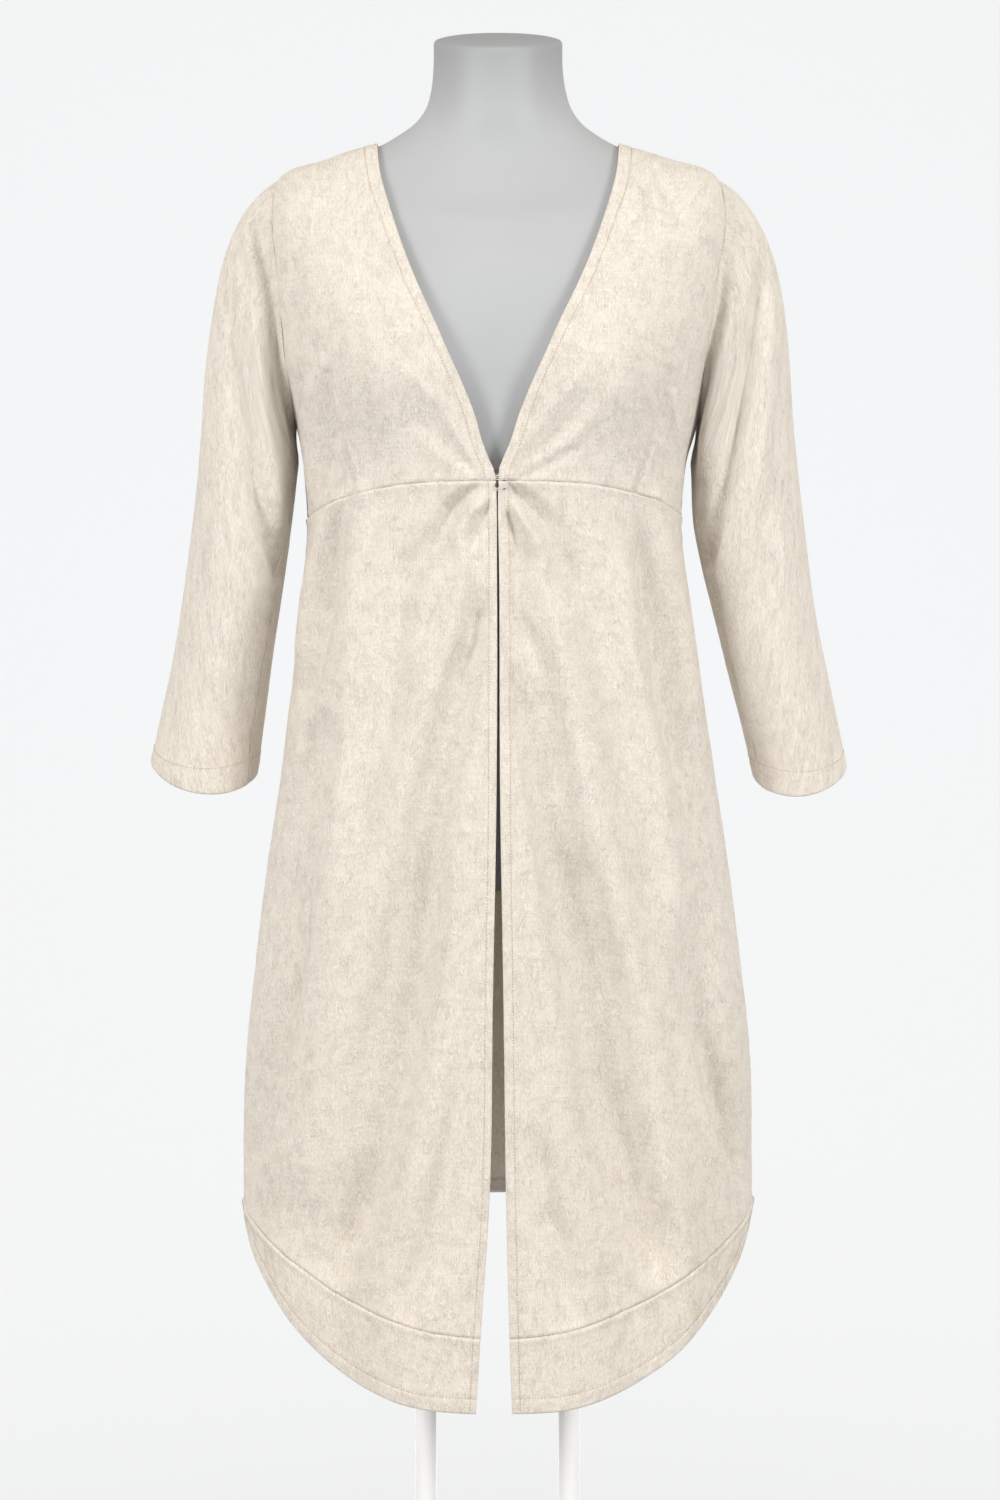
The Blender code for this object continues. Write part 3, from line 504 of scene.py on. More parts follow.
SEAM_LINES = (0.0, 0.0006, 0.0012, 0.0020, 0.0032, 0.0048)
STITCH_LEFT = 0.0084            # from the front edge to its topstitching
STITCH_RIGHT = 0.0107
STITCH_NECK = 0.0110
STITCH_HEM = 0.0120
STITCH_CUFF = 0.0130
EDGE_LINES = (0.0, 0.0004, 0.0010, 0.0020, 0.0038)
ROW_LINES = (-0.0017, -0.0007, 0.0, 0.0007, 0.0017, 0.0038)
CROWDED = 0.8                   # the most of a short length that set distances take up
COARSE = 49                     # points each way of the rough grid that measures a panel
SLEEVE_SPLIT = 0.42             # the cap's share of a sleeve's rows


def edge_lines(stitched):
    """Distances of grid lines from a turned edge with a row of stitches."""
    row = tuple(stitched + step for step in ROW_LINES)
    return EDGE_LINES + ((EDGE_LINES[-1] + row[0]) / 2,) + row


def place(index, first, last, steps, length):
    """Share of a length at a grid line: set distances from each end, even steps between."""
    total = len(first) + len(last) - 2 + steps
    squeeze = np.minimum(1, CROWDED * length / (first[-1] + last[-1]))
    back = total - index
    near = squeeze * np.array(first)[np.clip(index, 0, len(first) - 1)]
    far = length - squeeze * np.array(last)[np.clip(back, 0, len(last) - 1)]
    share = (index - (len(first) - 1)) / steps
    inner = squeeze * first[-1] + (length - squeeze * (first[-1] + last[-1])) * share
    return np.where(index < len(first), near, np.where(back < len(last), far, inner)) / length


class Panel:
    """A piece of cloth as a grid of points, with its normals and distances from its edges.

    Each edge is ("seam", how proud it stands) or ("turned", how wide it is).
    """

    def __init__(self, surface, edges, spacing):
        self.edges = edges
        self.lines = {edge: SEAM_LINES if kind == "seam" else edge_lines(size)
                      for edge, (kind, size) in edges.items()}
        columns = self.lines["start"], self.lines["end"]
        rows = self.lines["top"], self.lines["bottom"]
        coarse = np.linspace(0, 1, COARSE)
        u, v = np.meshgrid(coarse, coarse)
        rough = surface(u.ravel(), v.ravel())[0].reshape(COARSE, COARSE, 3)
        row_length = np.linalg.norm(np.diff(rough, axis=1), axis=-1).sum(axis=1)
        column_length = np.linalg.norm(np.diff(rough, axis=0), axis=-1).sum(axis=0)
        across_steps = self.steps(columns, row_length.max(), spacing)
        down_steps = self.steps(rows, column_length.max(), spacing)
        wide = len(columns[0]) + len(columns[1]) - 1 + across_steps
        tall = len(rows[0]) + len(rows[1]) - 1 + down_steps
        i, j = np.meshgrid(np.arange(tall), np.arange(wide), indexing="ij")
        down = place(i, *rows, down_steps, column_length.mean())
        for _ in range(GRID_ROUNDS):
            across = place(j, *columns, across_steps, np.interp(down, coarse, row_length))
            down = place(i, *rows, down_steps, np.interp(across, coarse, column_length))
        points, normals = surface(across.ravel(), down.ravel())
        self.points = points.reshape(tall, wide, 3)
        self.normals = normals.reshape(tall, wide, 3)
        self.measure()
        self.rise = np.zeros((tall, wide))

    @staticmethod
    def steps(lines, length, spacing):
        return max(2, round((length - lines[0][-1] - lines[1][-1]) / spacing))

    def measure(self):
        """Distances in metres from the start, end, top and bottom edges, along the grid."""
        across = np.linalg.norm(np.diff(self.points, axis=1), axis=-1)
        down = np.linalg.norm(np.diff(self.points, axis=0), axis=-1)
        self.start = np.pad(np.cumsum(across, axis=1), ((0, 0), (1, 0)))
        self.end = self.start[:, -1:] - self.start
        self.top = np.pad(np.cumsum(down, axis=0), ((1, 0), (0, 0)))
        self.bottom = self.top[-1:] - self.top

    def beside(self, edge):
        """Each point's distance from an edge, and its place along that edge."""
        return {
            "start": (self.start, self.top[:, :1]),
            "end": (self.end, self.top[:, -1:]),
            "top": (self.top, self.start[:1]),
            "bottom": (self.bottom, self.start[-1:]),
        }[edge]

    def moved(self):
        return self.points + self.normals * self.rise[..., None]

    def line(self, edge, distance):
        """Points and normals along the grid line at a set distance from an edge."""
        index = int(np.argmin(np.abs(np.array(self.lines[edge]) - distance)))
        where = {
            "start": np.s_[:, index],
            "end": np.s_[:, -1 - index],
            "top": np.s_[index],
            "bottom": np.s_[-1 - index],
        }[edge]
        return self.moved()[where], self.normals[where]


def body_panel(region, edges, spacing):
    def surface(u, v):
        turn, level = np.moveaxis(region(u, v), -1, 0)
        return figure(turn, level), facing(figure, turn, level)
    return Panel(surface, edges, spacing)


def sleeve_panel(side, edges, spacing):
    def surface(u, v):
        cuffward = (v - SLEEVE_SPLIT) / (1 - SLEEVE_SPLIT)
        along = np.where(v < SLEEVE_SPLIT, v / SLEEVE_SPLIT, 1 + cuffward)
        seam = np.radians(UNDERARM[0] + (UNDERARM[1] - UNDERARM[0]) * smooth(along / 2))
        angle = seam + 2 * math.pi * u * -side
        below, above = np.clip(along + 2 * NUDGE, 0, 2), np.clip(along - 2 * NUDGE, 0, 2)
        along_step = sleeve(side, angle, below) - sleeve(side, angle, above)
        round_step = sleeve(side, angle + NUDGE, along) - sleeve(side, angle - NUDGE, along)
        return sleeve(side, angle, along), unit(np.cross(round_step, along_step)) * side
    return Panel(surface, edges, spacing)


# ---- Relief: creases, crinkles, seams and turned edges --------------------------------------

# The camera's place before the coat, from where the traced folds are seen.
CAMERA_AWAY = 3.2
CAMERA_HEIGHT = 0.91

# Folds of the fronts and the sleeves' front halves, traced as lines of x, z, half width and
# depth in millimetres, as they look from straight in front. Plus is a ridge.
SKIRT_FOLDS = (
    ((-129.8, 1113.3, 8.2, 0), (-136.5, 1069.6, 9.4, -10.6), (-147.4, 1027.6, 9.4, -12.0),
     (-152.5, 994.0, 9.4, -9.0), (-163.4, 960.4, 11.0, -10.6), (-170.1, 940.2, 9.2, 0)),
    ((-143.2, 947.8, 12.7, 0), (-149.1, 920.1, 14.0, -8.9), (-155.8, 880.6, 14.3, -8.2),
     (-163.4, 826.0, 17.4, -9.9), (-170.1, 784.0, 19.0, -16.2), (-174.3, 742.0, 17.4, -18.6),
     (-177.7, 708.4, 15.9, -18.6), (-185.2, 674.8, 15.9, -17.4), (-191.9, 641.2, 14.3, -16.2),
     (-198.7, 607.6, 12.7, -16.2), (-207.1, 569.8, 9.6, -13.9), (-213.8, 535.4, 8.0, -4.3)),
    ((-155.8, 758.8, 5.0, 0), (-163.4, 700.0, 5.0, 1.5), (-168.4, 670.6, 5.0, 2.5),
     (-176.8, 637.0, 5.0, 3.5), (-183.5, 611.8, 5.0, 3.5), (-191.9, 586.6, 5.0, 3.5),
     (-198.7, 563.9, 5.0, 3), (-205.4, 543.8, 5.0, 1)),
    ((-13.9, 1131.8, 3.4, -1.3), (-27.3, 1124.2, 5.2, -9.6), (-39.9, 1112.4, 6.6, -10.7),
     (-48.3, 1096.5, 7.8, -8.3), (-59.2, 1079.7, 11.7, -9.6), (-72.7, 1065.4, 11.7, -11.9),
     (-81.1, 1044.4, 11.7, -8.3), (-80.2, 1019.2, 11.7, -9.6), (-86.1, 994.0, 10.5, -7.1),
     (-88.6, 960.4, 15.8, -7.1), (-92.8, 935.2, 19.2, -7.9), (-105.4, 893.2, 17.4, -5.2),
     (-111.3, 859.6, 13.8, -3.9), (-118.0, 817.6, 12.3, -2), (-123.9, 784.0, 12.3, 0)),
    ((-12.2, 1052.8, 8.2, 0), (-16.4, 1023.4, 9.4, -10.6), (-20.6, 998.2, 9.4, -12.0),
     (-29.8, 977.2, 12.7, -12.0), (-32.3, 952.0, 14.6, -12.0), (-39.1, 922.6, 15.8, -12.0),
     (-46.6, 897.4, 14.9, -12.0), (-53.3, 872.2, 15.9, -10.7), (-57.5, 842.8, 15.9, -11.5),
     (-60.9, 809.2, 15.9, -15.0), (-64.3, 779.8, 19.0, -16.2), (-71.0, 742.0, 22.3, -17.4),
     (-78.5, 700.0, 25.4, -18.6), (-86.9, 662.2, 27.0, -18.6), (-93.7, 632.8, 23.8, -16.2),
     (-101.2, 603.4, 23.8, -13.9), (-107.1, 569.8, 20.7, -13.9), (-115.5, 536.2, 19.0, -16.2),
     (-123.9, 506.8, 15.9, -13.9), (-128.9, 479.9, 12.7, -4.3)),
    ((-34.9, 628.6, 8.0, 0), (-40.7, 574.0, 9.6, -5.4), (-43.3, 548.8, 11.1, -7.5),
     (-50.0, 519.4, 14.3, -8.6), (-61.7, 479.9, 15.9, -9.7), (-72.7, 456.4, 14.3, -7.5),
     (-76.0, 436.2, 11.1, -4.3)),
    ((-165.9, 561.4, 19.0, 0), (-170.9, 523.6, 25.4, -5.4), (-149.1, 479.9, 25.4, -5.4),
     (-132.3, 460.6, 15.9, 0)),
    ((-133.1, 1120.0, 5.8, 4.2), (-144.1, 1101.5, 6.9, 5.5), (-150.8, 1073.8, 6.9, 5.5),
     (-160.9, 1036.0, 6.9, 5.5), (-166.7, 998.2, 6.9, 5.5), (-172.6, 960.4, 5.8, 0)),
    ((-145.7, 968.8, 5.8, 0), (-156.7, 939.4, 6.9, 5.5), (-165.9, 905.8, 6.4, 5.5),
     (-175.1, 872.2, 6.0, 1.8)),
    ((-8.8, 1120.0, 4.6, 4.2), (-21.4, 1111.6, 5.8, 6.5), (-32.3, 1090.6, 6.9, 5.1),
     (-27.3, 1065.4, 8.2, 5.1), (-34.0, 1031.8, 8.2, 5.1), (-42.4, 994.0, 9.3, 4.2),
     (-55.0, 952.0, 10.5, 4.2), (-61.7, 914.2, 12.0, 3.1), (-76.0, 876.4, 12.1, 1.8),
     (-81.9, 826.0, 11.1, 0.9), (-88.6, 784.0, 10.1, 0)),
    ((-18.1, 952.0, 10.5, 0), (-21.4, 884.8, 12.2, 1.4), (-26.5, 826.0, 13.1, 1.8),
     (-30.7, 775.6, 14.1, 1.5), (-39.9, 716.8, 16.1, 1.5), (-48.3, 658.0, 16.1, 1.2),
     (-60.9, 599.2, 14.1, 1.2), (-77.7, 540.4, 12.1, 1.5), (-100.4, 485.8, 10.1, 1.8),
     (-116.3, 458.1, 9.1, 1.5), (-123.9, 448.0, 8.1, 0)),
    ((-112.1, 1124.2, 8.2, 4.2), (-120.5, 1086.4, 11.6, 5.5), (-122.2, 1036.0, 13.9, 5.5),
     (-123.9, 968.8, 16.2, 5.5), (-128.9, 901.6, 12.8, 3.8), (-138.2, 826.0, 14.1, 3.6),
     (-147.4, 742.0, 18.1, 3.6), (-153.3, 666.4, 18.1, 2.7), (-165.9, 599.2, 14.1, 0)),
    ((-56.7, 1025.9, 3.5, -2.5), (-61.7, 1010.8, 3.5, -2.5), (-71.8, 1002.4, 3.5, 0)),
    ((119.7, 1111.6, 8.2, 0), (123.9, 1073.8, 9.4, -10.6), (128.1, 1044.4, 9.4, -12.0),
     (133.1, 1017.5, 10.8, -12.0), (139.0, 985.6, 10.8, -12.0), (143.2, 956.2, 14.6, -12.0),
     (149.9, 931.0, 14.3, -12.0), (155.8, 905.8, 13.5, -12.0), (161.7, 878.1, 12.7, -9.1),
     (166.7, 851.2, 14.3, -9.1), (170.1, 819.3, 14.3, -9.1), (176.8, 788.2, 15.9, -9.7),
     (173.5, 754.6, 19.0, -8.6), (170.1, 716.8, 19.0, -11.8), (174.3, 683.2, 19.0, -13.9),
     (180.2, 656.3, 15.9, -16.2), (187.7, 624.4, 14.3, -18.6), (196.1, 595.0, 12.7, -16.2),
     (203.7, 565.6, 11.1, -13.9), (207.9, 537.0, 8.0, -4.3)),
    ((6.3, 1136.0, 3.3, -1.2), (14.7, 1126.7, 6.3, -11.0), (26.5, 1117.5, 7.6, -11.0),
     (37.4, 1106.6, 7.6, -9.9), (50.8, 1093.1, 10.0, -8.7), (60.9, 1072.1, 12.5, -11.0),
     (71.0, 1048.6, 11.3, -9.9), (78.5, 1031.8, 10.0, -8.7), (84.4, 1006.6, 11.3, -6.6),
     (92.8, 981.4, 15.2, -5.5), (97.9, 947.8, 15.2, -5.5), (104.6, 916.7, 14.4, -5.3),
     (110.5, 891.5, 13.6, -4.8), (119.7, 863.8, 13.2, -4.2), (126.4, 832.7, 13.2, -4.8),
     (131.5, 796.6, 13.2, -4.7), (136.5, 758.8, 13.2, 0)),
    ((5.5, 1126.7, 4.1, -1.9), (10.5, 1108.2, 5.6, -8.3), (15.5, 1089.8, 5.6, -7.3),
     (18.9, 1065.4, 8.4, -4.6), (16.4, 1042.7, 8.4, -5.5), (13.9, 1025.9, 5.6, -6.4),
     (22.3, 1010.8, 8.4, -8.3), (31.5, 992.3, 9.9, -8.3), (39.9, 968.8, 13.4, -6.4),
     (46.6, 939.4, 15.0, -5.4), (48.3, 901.6, 15.5, -3.8), (49.1, 868.0, 14.7, 0)),
    ((18.1, 989.8, 6.8, 0), (18.1, 975.5, 9.2, -3.8), (26.5, 945.3, 12.7, -12.0),
     (34.0, 918.4, 13.9, -12.0), (39.9, 891.5, 14.7, -11.3), (46.6, 861.3, 15.9, -11.5),
     (52.5, 827.7, 15.9, -14.3), (61.7, 799.1, 19.0, -17.4), (67.6, 765.5, 20.7, -18.6),
     (77.7, 731.9, 23.8, -19.7), (86.1, 700.0, 23.8, -18.6), (88.6, 666.4, 20.7, -17.4),
     (92.8, 631.1, 19.0, -17.4), (101.2, 597.5, 19.0, -17.4), (109.6, 572.3, 19.0, -18.6),
     (114.7, 547.1, 17.4, -17.4), (120.5, 521.9, 17.4, -15.0), (127.3, 496.7, 15.9, -13.9),
     (133.1, 476.6, 12.7, -8.6), (138.2, 461.4, 9.6, 0)),
    ((29.8, 595.0, 11.1, 0), (35.7, 561.4, 12.7, -6.4), (41.6, 532.0, 12.7, -7.5),
     (44.9, 510.2, 12.7, -11.8), (52.5, 488.3, 14.3, -9.7), (57.5, 456.4, 14.3, -9.7),
     (60.1, 436.2, 11.1, -6.4)),
    ((89.5, 490.0, 8.0, 0), (92.0, 466.5, 8.0, -3.0), (96.2, 444.6, 8.0, -2.0)),
    ((132.3, 1122.5, 5.8, 3.4), (136.5, 1103.2, 8.2, 5.5), (142.4, 1069.6, 8.2, 5.5),
     (150.8, 1036.0, 8.2, 5.5), (157.5, 1002.4, 8.2, 5.5), (163.4, 952.0, 8.2, 4.7),
     (170.1, 901.6, 7.5, 0)),
    ((8.0, 1130.1, 3.0, 1.2), (15.5, 1113.3, 5.8, 6.5), (27.3, 1094.8, 6.9, 6.4),
     (39.9, 1069.6, 8.2, 5.6), (36.5, 1048.6, 9.3, 4.7), (50.8, 1019.2, 10.5, 4.7),
     (54.2, 985.6, 10.5, 4.7), (62.6, 947.8, 11.6, 4.7), (71.0, 901.6, 11.7, 2.8),
     (86.1, 842.8, 12.1, 2), (101.2, 784.0, 12.1, 2), (111.3, 733.6, 12.1, 2),
     (123.9, 691.6, 12.1, 1.6), (132.3, 649.6, 12.1, 0)),
    ((12.2, 918.4, 8.9, 0), (18.1, 842.8, 12.1, 2.7), (22.3, 784.0, 14.1, 2.2),
     (39.9, 716.8, 14.1, 1.8), (52.5, 666.4, 15.1, 1.8), (67.6, 590.8, 12.1, 1.4),
     (86.1, 540.4, 9.1, 2.2), (96.2, 506.8, 9.1, 2.7), (109.6, 474.9, 9.1, 3.6),
     (122.2, 456.4, 7.1, 2.2)),
    ((156.7, 700.0, 8.1, 0), (161.7, 666.4, 8.1, 2.2), (165.9, 637.0, 7.1, 4.4),
     (173.5, 607.6, 6.0, 5.5), (182.7, 582.4, 6.0, 5.5), (193.6, 555.5, 6.0, 5.5),
     (204.5, 535.4, 5.0, 2.2)),
    ((133.1, 582.4, 8.1, 0), (138.2, 553.0, 9.1, 3), (149.1, 523.6, 9.1, 3), (163.4, 488.3, 8.1, 3)),
    ((104.6, 1086.4, 9.3, 0), (107.9, 1036.0, 13.9, 6.5), (113.0, 985.6, 12.8, 6.3),
     (132.3, 910.0, 8.7, 5.5), (139.9, 868.0, 8.1, 3.6), (146.6, 817.6, 9.1, 0)),
    ((-1.3, 1131.8, 1.3, -1), (-5.5, 1122.5, 1.7, -1.8), (-10.5, 1108.2, 2.9, -3),
     (-20.6, 1083.9, 3.4, -2.5), (-26.5, 1073.0, 3.4, 0)),
)
BODICE_FOLDS = (
    ((-80.2, 1234.2, 4.4, 0), (-71.8, 1225.8, 5.5, 1.6), (-60.9, 1214.1, 5.5, 2.3),
     (-47.5, 1199.0, 5.5, 2.3), (-35.7, 1181.3, 5.5, 2.3), (-24.8, 1162.0, 4.4, 1.6),
     (-16.4, 1145.2, 3.3, 0.7)),
    ((-66.8, 1230.9, 4.0, 0), (-55.0, 1222.5, 4.0, -1.4), (-42.4, 1208.2, 4.0, -1.8),
     (-31.5, 1188.9, 4.0, -1.6), (-22.3, 1166.2, 3.0, -0.9)),
    ((-83.6, 1216.6, 9.8, 0), (-76.9, 1204.0, 12.0, -2), (-67.6, 1189.7, 10.9, -2.3),
     (-55.0, 1178.0, 8.7, -2.3), (-43.3, 1166.2, 6.6, -2.3), (-30.7, 1154.4, 5.5, -2.1),
     (-19.7, 1143.5, 3.3, -1)),
    ((-75.2, 1183.0, 6.6, 0), (-60.9, 1167.9, 5.5, 1.1), (-46.6, 1154.4, 4.4, 1.2),
     (-33.2, 1146.0, 3.3, 1.1), (-19.7, 1141.0, 3.3, 0.6)),
    ((-144.1, 1226.7, 2.8, -2.4), (-141.5, 1199.8, 3.7, -4), (-138.2, 1174.6, 4.6, -4.8),
     (-139.9, 1151.9, 4.6, -4), (-144.9, 1128.4, 3.7, -1.6)),
    ((-147.4, 1239.3, 3.7, 1.6), (-155.0, 1212.4, 6.5, 4), (-156.7, 1178.8, 7.4, 4.8),
     (-155.0, 1145.2, 7.4, 4), (-154.1, 1120.0, 6.5, 1.6)),
    ((-160.9, 1353.5, 3.7, -1), (-168.4, 1325.8, 4.6, -2), (-171.8, 1296.4, 4.6, -1.8),
     (-174.3, 1262.8, 4.6, -1), (-175.1, 1247.7, 4.6, 0)),
    ((-116.3, 1382.1, 3.7, 0), (-120.5, 1363.6, 3.7, -1.8), (-124.7, 1345.1, 3.7, -0.8)),
    ((-109.6, 1367.8, 3.7, 0), (-110.5, 1342.6, 3.7, -1.2), (-112.1, 1319.9, 4.6, 0)),
    ((-175.1, 1390.5, 3.7, 0), (-177.7, 1346.8, 4.6, 1.5), (-178.5, 1296.4, 4.6, 1.2),
     (-180.2, 1271.2, 4.6, 0)),
    ((-128.1, 1262.8, 14.8, 0), (-122.2, 1272.9, 16.6, 1.2), (-132.3, 1283.8, 14.8, 0)),
    ((74.3, 1230.9, 4.4, 0.7), (60.9, 1216.6, 5.5, 2), (47.5, 1200.6, 5.5, 2.3),
     (35.7, 1183.8, 5.5, 2.3), (23.9, 1169.6, 4.4, 2), (13.9, 1156.1, 3.3, 1)),
    ((62.6, 1230.9, 4.4, 0), (49.1, 1212.4, 4.4, -1.5), (39.9, 1202.3, 4.4, -1.1),
     (29.0, 1183.8, 3.3, -0.8)),
    ((96.2, 1225.8, 7.6, -0.7), (82.7, 1215.8, 8.7, -2), (66.8, 1195.6, 7.6, -2.5),
     (53.3, 1178.8, 6.6, -2.5), (39.9, 1165.4, 5.5, -2.5), (25.6, 1153.6, 4.4, -2.1),
     (13.9, 1145.2, 3.3, -1)),
    ((89.5, 1199.8, 5.5, 0), (76.0, 1184.7, 6.6, 1.5), (60.9, 1170.4, 5.5, 1.8),
     (46.6, 1161.2, 4.4, 1.7), (28.1, 1152.8, 3.3, 1.3), (13.9, 1144.4, 3.3, 0.6)),
    ((56.7, 1156.1, 4.0, 0), (44.1, 1149.4, 4.0, -2), (32.3, 1142.7, 4.0, -2.4), (20.6, 1138.5, 3.0, -1.2)),
    ((74.3, 1164.5, 5.5, 0), (62.6, 1159.5, 5.5, -1.5), (52.5, 1153.6, 3.7, 0)),
    ((140.7, 1230.9, 3.7, -1.6), (143.2, 1205.7, 3.7, -4), (139.9, 1187.2, 3.7, -4),
     (137.3, 1173.8, 3.7, -1.6)),
    ((149.1, 1227.5, 2.8, -1), (149.1, 1215.8, 2.8, -1.5)),
    ((147.4, 1208.2, 3.7, 1.5), (150.8, 1178.8, 4.6, 3), (151.6, 1136.8, 4.6, 2.5),
     (151.6, 1120.0, 4.6, 1)),
    ((126.4, 1195.6, 4.6, 0), (129.8, 1162.0, 5.5, 2), (133.1, 1126.7, 5.5, 1.5)),
    ((140.7, 1166.2, 3.7, 0), (142.4, 1145.2, 3.7, -1.5), (143.2, 1124.2, 3.7, 0)),
    ((128.1, 1405.6, 2.8, 0), (132.3, 1397.2, 2.8, -2.5), (139.9, 1380.4, 3.7, -2),
     (148.3, 1366.1, 3.7, -1.5), (154.1, 1350.2, 3.7, -1)),
    ((119.7, 1395.5, 2.8, 0), (122.2, 1383.8, 2.8, -2.2), (126.4, 1367.0, 2.8, -2.2),
     (130.6, 1348.5, 3.7, -1.5), (134.0, 1334.2, 3.7, 0)),
    ((126.4, 1390.5, 2.8, 0), (133.1, 1372.0, 3.7, 1.5), (137.3, 1351.0, 3.7, 1), (139.9, 1334.2, 3.7, 0)),
    ((111.3, 1380.4, 3.7, 0), (109.6, 1359.4, 4.6, -1.2), (113.0, 1334.2, 4.6, 0)),
)
SLEEVE_LEFT_FOLDS = (
    ((-203.7, 1353.5, 3.4, -1), (-198.7, 1331.7, 5.0, -5), (-192.8, 1309.0, 5.9, -6),
     (-186.9, 1279.6, 6.7, -7), (-181.9, 1250.2, 7.6, -8), (-176.0, 1220.8, 7.6, -8),
     (-170.9, 1199.8, 6.7, -8), (-165.9, 1174.6, 5.9, -7)),
    ((-227.2, 1319.9, 4.6, 0), (-224.7, 1271.2, 4.6, -3.6), (-220.5, 1225.0, 4.6, -4.5),
     (-213.8, 1187.2, 4.6, -5.4), (-209.6, 1157.8, 5.5, -6.3), (-202.9, 1128.4, 5.5, -6.3),
     (-197.0, 1103.2, 5.5, -7.2), (-189.4, 1079.7, 5.5, -7.2), (-182.7, 1057.0, 5.5, -5.4)),
    ((-207.9, 1296.4, 5.9, 0), (-202.9, 1254.4, 6.7, 6), (-197.8, 1204.0, 7.6, 6.8),
     (-193.6, 1162.0, 7.6, 6.8), (-189.4, 1126.7, 6.7, 6.8), (-184.4, 1099.0, 5.0, 3.4)),
    ((-212.1, 1367.8, 4.2, 0), (-208.7, 1330.0, 4.2, 4.2), (-202.9, 1306.5, 4.2, 3.4),
     (-197.8, 1288.0, 3.4, 0)),
    ((-244.9, 1288.0, 8.4, 0), (-243.2, 1220.8, 10.1, 3.4), (-239.8, 1153.6, 11.8, 3.4),
     (-237.3, 1086.4, 11.8, 2.5), (-239.8, 1019.2, 10.1, 0)),
    ((-220.5, 1069.6, 6.7, 0), (-226.4, 1019.2, 8.4, 2.5), (-233.1, 968.8, 10.1, 2.5),
     (-239.8, 926.8, 8.4, 0)),
    ((-197.8, 1036.0, 7.4, -1.8), (-203.7, 1002.4, 7.4, -4.5), (-209.6, 960.4, 8.3, -5.4),
     (-213.8, 926.8, 9.2, -4.5), (-211.3, 899.9, 8.3, -1.8)),
)
SLEEVE_RIGHT_FOLDS = (
    ((188.6, 1325.8, 4.2, -1), (187.7, 1296.4, 5.9, -5), (181.9, 1271.2, 5.9, -7),
     (175.1, 1246.0, 6.7, -8), (170.1, 1216.6, 7.6, -8), (164.2, 1187.2, 6.7, -8),
     (160.0, 1157.8, 5.9, -7), (157.5, 1132.6, 5.0, -4)),
    ((223.9, 1328.3, 4.6, -1.8), (219.7, 1288.0, 5.5, -7.2), (213.8, 1246.0, 6.5, -9),
     (207.9, 1212.4, 6.5, -9.9), (202.0, 1187.2, 6.5, -10.8), (197.0, 1162.0, 6.5, -10.8),
     (191.9, 1136.8, 6.5, -10.8), (185.2, 1109.9, 6.5, -9.9), (180.2, 1084.7, 5.5, -9),
     (175.1, 1065.4, 5.5, -5.4)),
    ((201.2, 1296.4, 5.0, 0), (197.0, 1271.2, 6.7, 5.1), (188.6, 1235.9, 7.6, 7.6),
     (182.7, 1202.3, 7.6, 7.6), (176.8, 1168.7, 6.7, 6.8), (172.6, 1141.0, 5.0, 3.4)),
    ((233.1, 1313.2, 5.9, 0), (230.6, 1271.2, 7.6, 3.4), (228.1, 1229.2, 8.4, 4.2),
     (223.0, 1178.8, 8.4, 4.2), (218.0, 1136.8, 8.4, 3.4), (212.1, 1094.8, 7.6, 0)),
    ((233.1, 1124.2, 4.2, 0), (235.6, 1103.2, 5.0, 3.1), (239.8, 1079.7, 5.0, 2.5),
     (243.2, 1052.8, 5.0, 0)),
    ((220.5, 1094.8, 4.6, 0), (218.8, 1069.6, 5.5, -3.6), (220.5, 1040.2, 5.5, -4.5),
     (218.8, 1015.0, 5.5, 0)),
    ((193.6, 1044.4, 5.0, 0), (202.0, 994.0, 6.7, 2.5), (208.7, 952.0, 7.6, 2.5), (218.8, 914.2, 7.6, 0)),
)
# Darts: narrow stitched folds from the waist seam to the bust, x and z of their points.
DARTS = (
    ((-0.1152, 1.1215), (-0.1249, 1.1534), (-0.1338, 1.1833), (-0.1395, 1.2067)),
    ((0.1112, 1.1170), (0.1233, 1.1558), (0.1370, 1.1970), (0.1443, 1.2060)),
)
DART_HALF = 0.0017
DART_DEPTH = 0.0024
DART_RIDGE = 0.0004             # the low ridges beside a dart: height, distance from it and half width
DART_RIDGE_AWAY = 0.003
DART_RIDGE_HALF = 0.002
DART_FADE = 0.022               # the length that a dart fades over, below its point
DART_END = 0.1                  # what is left of it at its point
DART_DIMPLE = 0.0006            # the dimple at its point: depth and half width
DART_DIMPLE_HALF = 0.008
